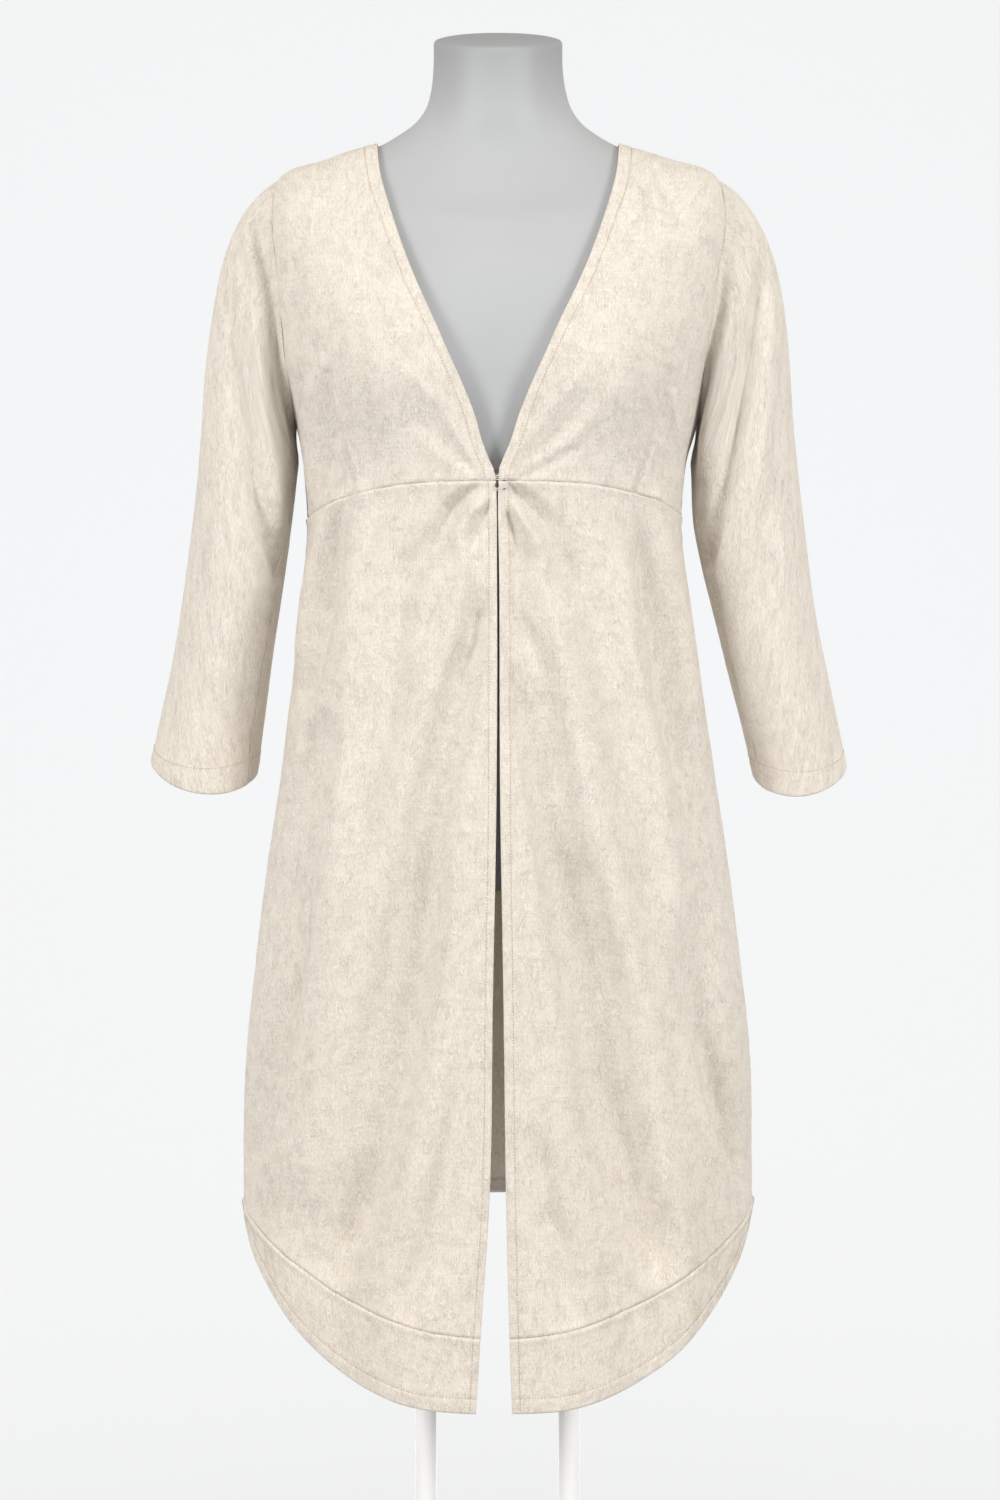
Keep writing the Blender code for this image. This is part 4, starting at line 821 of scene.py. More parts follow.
# Creases of the back: x and z of both ends, then half widths, depth and bow.
BACK_CREASES = (
    (0.0450, 1.3300, 0.1350, 1.2900, 0.0080, 0.0120, -0.0034, 0.004),
    (-0.0450, 1.3280, -0.1350, 1.2860, 0.0080, 0.0120, -0.0034, 0.004),
    (0.1500, 1.2300, 0.0750, 1.1500, 0.0090, 0.0120, -0.0048, 0.006),
    (-0.1520, 1.2260, -0.0800, 1.1520, 0.0090, 0.0120, -0.0048, -0.006),
    (0.1350, 1.1950, 0.0600, 1.1300, 0.0060, 0.0100, 0.0034, 0.004),
    (-0.1380, 1.1900, -0.0620, 1.1280, 0.0060, 0.0100, 0.0034, -0.004),
    (0.0200, 1.3000, 0.0120, 1.1500, 0.0140, 0.0160, -0.0038, 0.003),
    (-0.0350, 1.2600, -0.0280, 1.1300, 0.0100, 0.0120, 0.0029, 0.002),
    (0.0600, 1.0900, 0.0820, 0.8600, 0.0080, 0.0180, -0.0048, 0.004),
    (-0.0500, 1.0950, -0.0700, 0.8500, 0.0080, 0.0180, -0.0048, -0.004),
    (0.0150, 1.0900, 0.0100, 0.8200, 0.0080, 0.0200, 0.0043, 0.003),
    (0.1300, 1.0800, 0.1600, 0.8400, 0.0080, 0.0160, 0.0038, 0.003),
    (-0.1250, 1.0850, -0.1550, 0.8300, 0.0080, 0.0160, 0.0038, -0.003),
    (0.1100, 0.8200, 0.1350, 0.5600, 0.0140, 0.0220, -0.0043, 0.003),
    (-0.1050, 0.8000, -0.1300, 0.5600, 0.0140, 0.0220, -0.0043, -0.003),
)
# Creases of the sleeves' back halves: angle in degrees and height of both ends, then half
# widths, depth and bow.
SLEEVE_CREASES = {
    -1: (
        (250.0, 1.3400, 238.0, 1.2300, 0.0080, 0.0120, -0.0050, 0.004),
        (290.0, 1.2600, 280.0, 1.0200, 0.0120, 0.0160, -0.0050, 0.004),
        (215.0, 1.1300, 280.0, 1.0750, 0.0060, 0.0090, -0.0035, 0.004),
        (212.0, 1.0900, 275.0, 1.0350, 0.0060, 0.0090, 0.0030, 0.004),
        (240.0, 1.0300, 250.0, 0.9000, 0.0100, 0.0140, -0.0035, 0.002),
        (310.0, 1.1000, 318.0, 0.9000, 0.0120, 0.0160, 0.0030, 0.002),
    ),
    1: (
        (252.0, 1.3500, 240.0, 1.2400, 0.0080, 0.0120, -0.0050, 0.004),
        (286.0, 1.2500, 276.0, 1.0300, 0.0120, 0.0160, -0.0045, 0.004),
        (216.0, 1.1250, 282.0, 1.0700, 0.0060, 0.0090, -0.0035, 0.004),
        (214.0, 1.0850, 272.0, 1.0300, 0.0060, 0.0090, 0.0030, 0.004),
        (244.0, 1.0300, 252.0, 0.9000, 0.0100, 0.0140, -0.0030, 0.002),
        (306.0, 1.1100, 314.0, 0.9000, 0.0120, 0.0160, 0.0030, 0.002),
    ),
}
SLEEVE_REACH = 0.052            # turns a sleeve's angle into a distance round it
FRONT_TURN = 0.35               # how far cloth faces the front where the traced folds are full
# A crease's rise and fall, in shares of its length.
CREASE_START, CREASE_RISE = 0.05, 0.15
CREASE_END, CREASE_FALL = 1.15, 0.55


def creases(x, z, rows):
    """Soft troughs and ridges along slightly bowed lines that widen and fade away."""
    total = np.zeros_like(x)
    for x0, z0, x1, z1, half0, half1, depth, bow in rows:
        run, fall = x1 - x0, z1 - z0
        length = math.hypot(run, fall)
        along = ((x - x0) * run + (z - z0) * fall) / length**2
        t = np.clip(along, 0, 1)
        beside = ((x - x0) * fall - (z - z0) * run) / length - 4 * bow * t * (1 - t)
        fade = smooth((along + CREASE_START) / CREASE_RISE) * smooth((CREASE_END - along) / CREASE_FALL)
        total += depth * fade * hill(beside, half0 + (half1 - half0) * t)
    return total


def seen_from_front(points):
    """Where points appear from in front, in millimetres on the plane through the middle."""
    scale = CAMERA_AWAY / (CAMERA_AWAY + points[..., 1]) * 1000
    up = CAMERA_HEIGHT * 1000 + (points[..., 2] - CAMERA_HEIGHT) * scale
    return points[..., 0] * scale, up


def folds(points, rows):
    """The traced folds' height in metres at those points."""
    x, z = seen_from_front(points)
    total = np.zeros_like(x)
    for row in rows:
        nearest = np.full_like(x, np.inf)
        height = np.zeros_like(x)
        for (x0, z0, half0, depth0), (x1, z1, half1, depth1) in zip(row, row[1:]):
            run, fall = x1 - x0, z1 - z0
            t = np.clip(((x - x0) * run + (z - z0) * fall) / (run**2 + fall**2), 0, 1)
            away = np.hypot(x - x0 - t * run, z - z0 - t * fall)
            here = (depth0 + (depth1 - depth0) * t) * hill(away, half0 + (half1 - half0) * t)
            height = np.where(away < nearest, here, height)
            nearest = np.minimum(away, nearest)
        total += height
    return total / 1000


def front_weight(panel):
    """1 where the cloth faces the front, falling to 0 where it turns to the side."""
    return smooth(-panel.normals[..., 1] / FRONT_TURN)


NOISE_VALUES = 4096
NOISE_KEYS = np.array([73856093, 19349663, 83492791])


def noise(points, size, seed):
    """Smooth noise from -1 to 1 with features of about that size."""
    table = np.random.default_rng(seed).uniform(-1, 1, NOISE_VALUES)
    spot = points / size
    cell = np.floor(spot).astype(np.int64)
    part = spot - cell
    part = part * part * (3 - 2 * part)
    total = 0.0
    for corner in range(2 ** points.shape[-1]):
        bits = np.array([(corner >> axis) & 1 for axis in range(points.shape[-1])])
        weight = np.prod(np.where(bits, part, 1 - part), axis=-1)
        keys = (cell + bits) * NOISE_KEYS[:points.shape[-1]]
        total = total + weight * table[np.bitwise_xor.reduce(keys, axis=-1) & (NOISE_VALUES - 1)]
    return total


# The crumpling, as a size along the cloth and a height.
CRUMPLE_SEED = 5
DRIFT_SIZE, DRIFT = 0.030, 0.010
WAVE_SIZE, WAVE = 0.040, 0.0008
WAVE_STRETCH = (1.0, 1.0, 0.55)
FIRST_SIZE, FIRST = 0.016, 0.0002
SECOND_SIZE, SECOND = 0.010, 0.00015
PATCH_SIZE = 0.045
SHARPNESS = 3.0
CALM = 0.35                     # the share of it that is left at an edge, and how far in it is full
CALM_REACH = 0.012

# Seams: a dip, pressed layers that stand proud, and puckers.
DIP, DIP_LAYERS, DIP_HALF = 0.0004, 1.5, 0.0011
LAYERS_START, LAYERS_RISE = 0.0004, 0.0014
LAYERS_END, LAYERS_FALL = 0.0085, 0.0055
SEAM_PUCKER, SEAM_PUCKER_SIZE, SEAM_PUCKER_HALF = 0.00045, 0.009, 0.010

# Turned edges: a rounded rim, a second layer, the stitches' pull, puckers and a ripple.
RIM, RIM_HALF = 0.0008, 0.0006
SECOND_LAYER, SECOND_LAYER_OVER, SECOND_LAYER_FALL = 0.0004, 0.0012, 0.0020
PULL, PULL_HALF = 0.00055, 0.0010
ROW_PUCKER, ROW_PUCKER_SIZE, ROW_PUCKER_HALF = 0.0004, 0.008, 0.0065
RIPPLE, RIPPLE_SIZE, RIPPLE_HALF = 0.0006, 0.030, 0.012


def crumple(points, seed):
    """The cloth's small unevenness: soft waves and short sharp crinkles."""
    drift = stack(*(noise(points, DRIFT_SIZE, seed + k) for k in (1, 2, 3))) * DRIFT
    waves = noise(points * WAVE_STRETCH, WAVE_SIZE, seed + 4) * WAVE
    first = 1 - np.abs(noise(points + drift, FIRST_SIZE, seed + 5)) * SHARPNESS
    second = 1 - np.abs(noise(points - drift, SECOND_SIZE, seed + 6)) * SHARPNESS
    patches = smooth(0.5 + noise(points, PATCH_SIZE, seed + 7))
    return waves + patches * (np.clip(first, 0, 1) * FIRST + np.clip(second, 0, 1) * SECOND)


def seam_relief(distance, along, proud, seed):
    """A seam: the edge dips under, puckers a little, and stands proud over its pressed layers."""
    dip = -(DIP + DIP_LAYERS * proud) * hill(distance, DIP_HALF)
    stand = proud * smooth((distance - LAYERS_START) / LAYERS_RISE)
    stand = stand * smooth((LAYERS_END - distance) / LAYERS_FALL)
    pucker = noise(along[..., None], SEAM_PUCKER_SIZE, seed) * SEAM_PUCKER
    return dip + stand + pucker * hill(distance, SEAM_PUCKER_HALF)


def turned_relief(distance, along, width, seed):
    """A turned edge: rounded, a layer thicker, and pulled in along its row of stitches."""
    rounding = -RIM * hill(distance, RIM_HALF)
    layer = SECOND_LAYER * smooth((width + SECOND_LAYER_OVER - distance) / SECOND_LAYER_FALL)
    pull = -PULL * hill(distance - width, PULL_HALF)
    pucker = noise(along[..., None], ROW_PUCKER_SIZE, seed) * ROW_PUCKER
    pucker = pucker * hill(distance - width, ROW_PUCKER_HALF)
    ripple = noise(along[..., None], RIPPLE_SIZE, seed + 1) * RIPPLE * hill(distance, RIPPLE_HALF)
    return rounding + layer + pull + pucker + ripple


def relieve(panel, seed):
    """Add the crumpling, and the relief of the panel's seams and turned edges."""
    nearest = np.full(panel.rise.shape, 1.0)
    for edge, (kind, size) in panel.edges.items():
        distance, along = panel.beside(edge)
        relief = seam_relief if kind == "seam" else turned_relief
        panel.rise += relief(distance, along, size, seed + 10 * len(edge))
        nearest = np.minimum(nearest, distance)
    calm = CALM + (1 - CALM) * smooth(nearest / CALM_REACH)
    panel.rise += crumple(panel.points, CRUMPLE_SEED) * calm


# ---- Making pieces --------------------------------------------------------------------------

CLOTH = 0.0020                  # thickness of a turned edge; a single layer is PLAIN of it
PLAIN = 0.38
THICKNESS_STEPS = 12            # steps that the thickness goes up in, from one layer to two
MERGE = 1e-6


def link(name, data):
    """A new object of that data, in the scene."""
    item = bpy.data.objects.new(name, data)
    bpy.context.scene.collection.objects.link(item)
    return item


def choose(item):
    bpy.ops.object.select_all(action="DESELECT")
    item.select_set(True)
    bpy.context.view_layer.objects.active = item


def apply_modifiers(item):
    choose(item)
    for modifier in list(item.modifiers):
        bpy.ops.object.modifier_apply(modifier=modifier.name)


def turn_out(item, merge=False):
    """Turn an item's faces outwards, and merge the seam and poles of a rolled grid first."""
    choose(item)
    bpy.ops.object.mode_set(mode="EDIT")
    bpy.ops.mesh.select_all(action="SELECT")
    if merge:
        bpy.ops.mesh.remove_doubles(threshold=MERGE)
    bpy.ops.mesh.normals_make_consistent(inside=False)
    bpy.ops.object.mode_set(mode="OBJECT")


def join(items):
    """Join items into the first of them."""
    choose(items[0])
    for item in items[1:]:
        item.select_set(True)
    bpy.ops.object.join()
    return items[0]


def round_edges(item, width, segments):
    """Round an item's sharp edges, and shade it smooth between those that are left."""
    edge = item.modifiers.new("rim", "BEVEL")
    edge.width = width
    edge.segments = segments
    edge.limit_method = "ANGLE"
    apply_modifiers(item)
    shade_by_angle(item, 40)


def shade_by_angle(item, degrees):
    choose(item)
    bpy.ops.object.shade_smooth_by_angle(angle=math.radians(degrees))


def hand_over(item, finish, node=None):
    """Give a piece its material and its body, and hide the node that it takes the place of."""
    item.data.materials.append(MATERIALS[finish])
    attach(item, "root")
    if node:
        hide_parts(node)


def grid_mesh(name, points, grain=None):
    """A grid primitive whose points are moved to their places, with a grain UV map in metres."""
    tall, wide = points.shape[:2]
    bpy.ops.object.select_all(action="DESELECT")
    bpy.ops.mesh.primitive_grid_add(x_subdivisions=wide - 1, y_subdivisions=tall - 1, size=1)
    item = bpy.context.object
    item.name = name
    item.data.name = name
    mesh = item.data
    mesh.vertices.foreach_set("co", points.reshape(-1).astype(np.float32))
    if grain is not None:
        corners = np.empty(len(mesh.loops), np.int32)
        mesh.loops.foreach_get("vertex_index", corners)
        mesh.uv_layers.active.name = "grain"
        mesh.uv_layers["grain"].data.foreach_set(
            "uv", grain.reshape(-1, 2)[corners].reshape(-1).astype(np.float32))
    mesh.update()
    return item


def make_cloth(name, panel, grain):
    """Lay a panel down as cloth, with two layers' thickness where it is turned."""
    turned = layers(panel)
    points = panel.moved()
    across = points[:, 1:][:-1] - points[:, :-1][:-1]
    down = points[1:, :-1] - points[:-1, :-1]
    if np.sum(np.cross(across, down) * panel.normals[:-1, :-1]) < 0:
        points, grain, turned = points[:, ::-1], grain[:, ::-1], turned[:, ::-1]
    item = grid_mesh(name, points, grain)
    group = item.vertex_groups.new(name="layers")
    weights = PLAIN + (1 - PLAIN) * turned.reshape(-1)
    weights = np.round(weights * THICKNESS_STEPS) / THICKNESS_STEPS
    for weight in np.unique(weights):
        group.add(np.flatnonzero(weights == weight).tolist(), float(weight), "REPLACE")
    solid = item.modifiers.new("thickness", "SOLIDIFY")
    solid.thickness = CLOTH
    solid.offset = -1
    solid.vertex_group = "layers"
    apply_modifiers(item)
    item.vertex_groups.clear()
    item.data.shade_smooth()
    return item


STITCH_PITCH = 0.0025
STITCH_LENGTH = 0.0014
STITCH_RADIUS = 0.00034
STITCH_LIFT = 0.00012           # how far a stitch's middle stands over the cloth
STITCH_AHEAD = 0.001            # the step along a row that shows its direction


def stitch_template():
    bpy.ops.object.select_all(action="DESELECT")
    bpy.ops.mesh.primitive_uv_sphere_add(segments=6, ring_count=4, radius=1.0)
    ball = bpy.context.object
    corners = np.array([vertex.co[:] for vertex in ball.data.vertices])
    faces = [tuple(face.vertices) for face in ball.data.polygons]
    bpy.data.objects.remove(ball)
    return corners * (STITCH_RADIUS, STITCH_RADIUS, STITCH_LENGTH / 2), faces


def along_row(spots, run, values):
    """A row's values at those distances along it."""
    return stack(*(np.interp(spots, run, column) for column in values.T))


def make_stitches(name, rows):
    """One piece of all a panel's stitches. rows are (points, normals) along each row."""
    corners, faces = stitch_template()
    places, tangents, outs = [], [], []
    for points, normals in rows:
        steps = np.linalg.norm(np.diff(points, axis=0), axis=1)
        run = np.concatenate([[0], np.cumsum(steps)])
        spots = np.arange(STITCH_PITCH, run[-1] - STITCH_PITCH, STITCH_PITCH)
        at = along_row(spots, run, points)
        places.append(at)
        tangents.append(unit(along_row(spots + STITCH_AHEAD, run, points) - at))
        outs.append(unit(along_row(spots, run, normals)))
    at, along, out = (np.concatenate(part) for part in (places, tangents, outs))
    beside = unit(np.cross(along, out))
    out = np.cross(beside, along)
    body = (at + out * STITCH_LIFT)[:, None] + (
        corners[None, :, 0:1] * beside[:, None] + corners[None, :, 1:2] * out[:, None]
        + corners[None, :, 2:3] * along[:, None])
    count = len(corners)
    every = [tuple(index + k * count for index in face) for k in range(len(at)) for face in faces]
    mesh = bpy.data.meshes.new(name)
    mesh.from_pydata(body.reshape(-1, 3).tolist(), [], every)
    mesh.shade_smooth()
    item = link(name, mesh)
    turn_out(item)
    return item


# ---- Materials ------------------------------------------------------------------------------

MATERIALS = {}


def add(tree, kind, sockets=None, **settings):
    """A node with its settings, and its sockets linked or set."""
    node = tree.nodes.new(kind)
    for name, value in settings.items():
        setattr(node, name, value)
    for name, value in (sockets or {}).items():
        if isinstance(value, bpy.types.NodeSocket):
            tree.links.new(value, node.inputs[name])
        else:
            node.inputs[name].default_value = value
    return node


def calc(tree, operation, *values, clamp=False):
    return add(tree, "ShaderNodeMath", dict(enumerate(values)), operation=operation,
               use_clamp=clamp).outputs[0]


def blend(tree, share, low, high):
    return add(tree, "ShaderNodeMix", {0: share, 6: low, 7: high}, data_type="RGBA").outputs[2]


def scaled(tree, vector, scale, turn=0.0):
    return add(tree, "ShaderNodeMapping", {"Vector": vector, "Scale": scale,
                                           "Rotation": (0.0, 0.0, turn)}).outputs[0]


def cloud(tree, vector, detail, **settings):
    return add(tree, "ShaderNodeTexNoise", {"Vector": vector, "Scale": 1.0, "Detail": detail,
                                            **settings}).outputs["Fac"]


# Crinkles: how many to the metre, their turn in radians and a place in the noise.
CRINKLES = ((210.0, 0.5, 0.0), (165.0, 2.2, 3.1), (290.0, 1.3, 7.7))
CRINKLE_LONG = 0.5              # how many along a crinkle, as a share of those across
CRINKLE_BEND = 1.2
CRINKLE_SHARPNESS = 17.0
CRINKLE_BESIDE = 0.9            # where its crest and valley lie in the sharpened noise
PATCHES = (90.0, 70.0, 1.0)     # patches of crinkles: how many to the metre each way
PATCH_FROM, PATCH_SHARPNESS, PATCH_PLACE = 0.44, 5.0, 9.0
# Fibres: as the crinkles, for the brushed surface.
FIBRES = ((1050.0, 0.6, 0.0), (880.0, 2.4, 5.0))
FIBRE_LONG = 0.32
# Yarns, soft dents and mottling: how many to the metre each way.
YARNS_DOWN = (900.0, 34.0, 1.0)
YARNS_ACROSS = (30.0, 860.0, 1.0)
DENTS, DENTS_TURN = (150.0, 90.0, 1.0), 0.2
MOTTLES = (30.0, 14.0, 1.0)
# What the linen's height and tone are made of, in shares.
YARN_TONE, FIBRE_TONE = 0.35, 0.65
TONE_HEIGHT, CREST_HEIGHT, VALLEY_HEIGHT, DENT_HEIGHT = 0.7, 0.30, -0.22, 0.08

LINEN_SHADE = (0.540, 0.482, 0.412, 1.0)
LINEN_LIGHT = (0.705, 0.665, 0.608, 1.0)
LINEN_MOTTLE = (0.600, 0.543, 0.468, 1.0)
# Painted highlight on the crinkles' crests and painted shade in their valleys.
LINEN_CREST_PAINTED_HIGHLIGHT = (0.790, 0.760, 0.720, 1.0)
LINEN_VALLEY_PAINTED_SHADE = (0.460, 0.390, 0.310, 1.0)
MOTTLE_SHARE, CREST_HIGHLIGHT_SHARE, VALLEY_SHADE_SHARE = 0.10, 0.32, 0.24

FORM_SHADE = (0.358, 0.366, 0.377, 1.0)
FORM_LIGHT = (0.398, 0.406, 0.417, 1.0)
# Colour of painted shade, mixed over the form's neck higher up.
FORM_NECK_PAINTED_SHADE = (0.212, 0.217, 0.224, 1.0)
NECK_PAINTED_SHADE_FROM = 1.44          # height where painted shade begins to darken the form's neck
NECK_PAINTED_SHADE_RISE = 9.0           # how fast that painted shade darkens, to the metre

PAPER_COLOUR = (0.385, 0.40, 0.42, 1.0)
PAPER_GLOW_FROM, PAPER_GLOW_RISE, PAPER_GLOW = 0.7, 2.5, 0.475
BLACK = (0.0, 0.0, 0.0, 1.0)
WHITE = (1.0, 1.0, 1.0, 1.0)


def spot(tree, grain, scale, turn, place):
    """The grain map scaled, turned and moved to its own place in the noise."""
    vector = scaled(tree, grain, scale, turn)
    return add(tree, "ShaderNodeVectorMath", {0: vector, 1: (place, place, place)},
               operation="ADD").outputs[0]


def band(tree, level, middle):
    """1 where level is at the middle, falling to 0 one unit away."""
    away = calc(tree, "ABSOLUTE", calc(tree, "SUBTRACT", level, middle))
    return calc(tree, "SUBTRACT", 1.0, away, clamp=True)


def sharpened(tree, value, start, slope):
    """A value that is 0 up to start and rises from there to 1."""
    return calc(tree, "MULTIPLY", calc(tree, "SUBTRACT", value, start), slope, clamp=True)


def linen_group():
    """Relief and tones of the linen, from a grain map in metres: yarns, fibres and crinkles, whose crest and
    valley masks also place painted highlight and painted shade.
    """
    tree = bpy.data.node_groups.new("linen relief", "ShaderNodeTree")
    tree.interface.new_socket("Grain", in_out="INPUT", socket_type="NodeSocketVector")
    for name in ("Height", "Tone", "Crest", "Valley", "Mottle"):
        tree.interface.new_socket(name, in_out="OUTPUT", socket_type="NodeSocketFloat")
    grain = tree.nodes.new("NodeGroupInput").outputs["Grain"]
    yarns = [cloud(tree, scaled(tree, grain, scale), 2.0) for scale in (YARNS_DOWN, YARNS_ACROSS)]
    yarn = calc(tree, "MULTIPLY", calc(tree, "ADD", *yarns), 0.5)
    fibres = [cloud(tree, spot(tree, grain, (scale, scale * FIBRE_LONG, 1.0), turn, place), 2.0)
              for scale, turn, place in FIBRES]
    fibre = calc(tree, "MULTIPLY", calc(tree, "ADD", *fibres), 0.5)
    tone = calc(tree, "ADD", calc(tree, "MULTIPLY", yarn, YARN_TONE),
                calc(tree, "MULTIPLY", fibre, FIBRE_TONE))
    crest, valley = 0.0, 0.0
    for scale, turn, place in CRINKLES:
        field = cloud(tree, spot(tree, grain, (scale, scale * CRINKLE_LONG, 1.0), turn, place), 2.0,
                      Distortion=CRINKLE_BEND)
        level = calc(tree, "MULTIPLY", calc(tree, "SUBTRACT", field, 0.5), CRINKLE_SHARPNESS)
        patch = cloud(tree, spot(tree, grain, PATCHES, turn, place + PATCH_PLACE), 1.0)
        patch = sharpened(tree, patch, PATCH_FROM, PATCH_SHARPNESS)
        up, down = band(tree, level, CRINKLE_BESIDE), band(tree, level, -CRINKLE_BESIDE)
        crest = calc(tree, "MAXIMUM", crest, calc(tree, "MULTIPLY", up, patch))
        valley = calc(tree, "MAXIMUM", valley, calc(tree, "MULTIPLY", down, patch))
    dents = cloud(tree, scaled(tree, grain, DENTS, DENTS_TURN), 2.0)
    mottle = cloud(tree, scaled(tree, grain, MOTTLES), 2.0)
    height = 0.0
    for part, share in ((tone, TONE_HEIGHT), (crest, CREST_HEIGHT), (valley, VALLEY_HEIGHT),
                        (dents, DENT_HEIGHT)):
        height = calc(tree, "ADD", height, calc(tree, "MULTIPLY", part, share))
    leave = tree.nodes.new("NodeGroupOutput")
    for name, value in (("Height", height), ("Tone", tone), ("Crest", crest), ("Valley", valley),
                        ("Mottle", mottle)):
        tree.links.new(value, leave.inputs[name])
    return tree


def new_material(name, roughness, metallic=0.0, specular=0.5):
    material = bpy.data.materials.new(name)
    material.use_nodes = True
    shader = material.node_tree.nodes["Principled BSDF"]
    shader.inputs["Roughness"].default_value = roughness
    shader.inputs["Metallic"].default_value = metallic
    shader.inputs["Specular IOR Level"].default_value = specular
    MATERIALS[name] = material
    return material.node_tree, shader


def feel(tree, shader, height, strength, distance):
    """Link a height to the shader's normal."""
    bump = add(tree, "ShaderNodeBump", {"Height": height, "Strength": strength, "Distance": distance})
    tree.links.new(bump.outputs[0], shader.inputs["Normal"])


def make_linen():
    tree, shader = new_material("washed linen", roughness=0.92, specular=0.12)
    grain = add(tree, "ShaderNodeUVMap", uv_map="grain").outputs[0]
    weave = add(tree, "ShaderNodeGroup", node_tree=linen_group())
    tree.links.new(grain, weave.inputs["Grain"])
    tone = sharpened(tree, weave.outputs["Tone"], start=0.38, slope=4.2)
    mottle = sharpened(tree, weave.outputs["Mottle"], start=0.35, slope=3.2)
    base = blend(tree, tone, LINEN_SHADE, LINEN_LIGHT)
    # The crinkles' crests get a painted highlight and their valleys painted shade, over the yarn tone and
    # mottling.
    for mask, share, colour in ((mottle, MOTTLE_SHARE, LINEN_MOTTLE),
                                (weave.outputs["Crest"], CREST_HIGHLIGHT_SHARE, LINEN_CREST_PAINTED_HIGHLIGHT),
                                (weave.outputs["Valley"], VALLEY_SHADE_SHARE, LINEN_VALLEY_PAINTED_SHADE)):
        base = blend(tree, calc(tree, "MULTIPLY", mask, share), base, colour)
    tree.links.new(base, shader.inputs["Base Color"])
    feel(tree, shader, weave.outputs["Height"], strength=0.85, distance=0.0010)
    shader.inputs["Subsurface Weight"].default_value = 0.3
    shader.inputs["Subsurface Radius"].default_value = (1.0, 0.88, 0.72)
    shader.inputs["Subsurface Scale"].default_value = 0.0020


def own_place(tree):
    return add(tree, "ShaderNodeTexCoord").outputs["Object"]


def specks(tree, where, count, detail):
    """Noise with so many specks to the metre, alike in every direction."""
    return cloud(tree, scaled(tree, where, (count, count, count)), detail)


def make_two_tone(name, count, detail, dark, pale, roughness, metallic=0.0, specular=0.5):
    """A material of two tones in specks, so many to the metre."""
    tree, shader = new_material(name, roughness, metallic, specular)
    tone = specks(tree, own_place(tree), count, detail)
    tree.links.new(blend(tree, tone, dark, pale), shader.inputs["Base Color"])
    return tree, shader, tone


def make_form_grey():
    tree, shader = new_material("form", roughness=0.55, specular=0.4)
    where = own_place(tree)
    base = blend(tree, specks(tree, where, 14.0, 3.0), FORM_SHADE, FORM_LIGHT)
    # Painted shade: the form's colour grows darker up its neck.
    z = add(tree, "ShaderNodeSeparateXYZ", {0: where}).outputs[2]
    neck = sharpened(tree, z, NECK_PAINTED_SHADE_FROM, NECK_PAINTED_SHADE_RISE)
    tree.links.new(blend(tree, neck, base, FORM_NECK_PAINTED_SHADE), shader.inputs["Base Color"])
    feel(tree, shader, specks(tree, where, 1400.0, 2.0), strength=0.12, distance=0.0004)


def make_paper():
    """White paper that glows behind the coat."""
    tree, shader = new_material("studio paper", roughness=0.9, specular=0.1)
    shader.inputs["Base Color"].default_value = PAPER_COLOUR
    y = add(tree, "ShaderNodeSeparateXYZ", {0: own_place(tree)}).outputs[1]
    lit = sharpened(tree, y, PAPER_GLOW_FROM, PAPER_GLOW_RISE)
    tree.links.new(blend(tree, lit, BLACK, WHITE), shader.inputs["Emission Color"])
    shader.inputs["Emission Strength"].default_value = PAPER_GLOW
    # From behind the paper is clear, so that the object shows in views from there.
    behind = add(tree, "ShaderNodeNewGeometry").outputs["Backfacing"]
    tree.links.new(calc(tree, "SUBTRACT", 1.0, behind), shader.inputs["Alpha"])


def make_materials():
    make_linen()
    make_two_tone("thread", 900.0, 1.0, (0.36, 0.27, 0.17, 1.0), (0.52, 0.41, 0.28, 1.0),
                  roughness=0.8, specular=0.3)
    make_two_tone("pale thread", 900.0, 1.0, (0.66, 0.58, 0.46, 1.0), (0.86, 0.80, 0.70, 1.0),
                  roughness=0.8, specular=0.3)
    make_form_grey()
    make_two_tone("bronzed wire", 2600.0, 2.0, (0.055, 0.048, 0.042, 1.0), (0.20, 0.17, 0.13, 1.0),
                  roughness=0.42, metallic=0.85)
    tree, shader, peel = make_two_tone("white enamel", 700.0, 2.0, (0.845, 0.848, 0.85, 1.0),
                                       (0.875, 0.877, 0.88, 1.0), roughness=0.38)
    feel(tree, shader, peel, strength=0.05, distance=0.0005)
    make_paper()


# ---- The coat -------------------------------------------------------------------------------

# What the panels' edges are: a flat seam, the low and the proud side of a seam that is pressed
# one way, and the turned edges.
FLAT_SEAM = ("seam", 0.0)
LOW_SEAM = ("seam", 0.0003)
PROUD_SEAM = ("seam", 0.0009)
TURNED_NECK = ("turned", STITCH_NECK)
TURNED_HEM = ("turned", STITCH_HEM)
TURNED_CUFF = ("turned", STITCH_CUFF)
TURN_OVER, TURN_FALL = 0.001, 0.002     # where the second layer ends, past its stitches
ROUND_FROM, ROUND_REACH = 0.0002, 0.0012        # the rounding of the very edge
CAP_FADE = 0.008                # the folds fade over this length below the armhole
# Each piece's own place on the cloth, in metres, so that no two have the same crinkles.
BAND_GRAIN = (0.3, -0.7)
SLEEVE_GRAIN = 0.6
BODICE_BACK_GRAIN = 0.9
SKIRT_BACK_GRAIN = 1.5


def layers(panel):
    """Where the cloth is doubled: 1 inside a turned edge, 0 elsewhere and at the very edge."""
    double = np.zeros(panel.rise.shape)
    rounding = np.ones(panel.rise.shape)
    for edge, (kind, size) in panel.edges.items():
        if kind == "turned":
            distance = panel.beside(edge)[0]
            double = np.maximum(double, smooth((size + TURN_OVER - distance) / TURN_FALL))
            rounding = np.minimum(rounding, smooth((distance + ROUND_FROM) / ROUND_REACH))
    return double * rounding


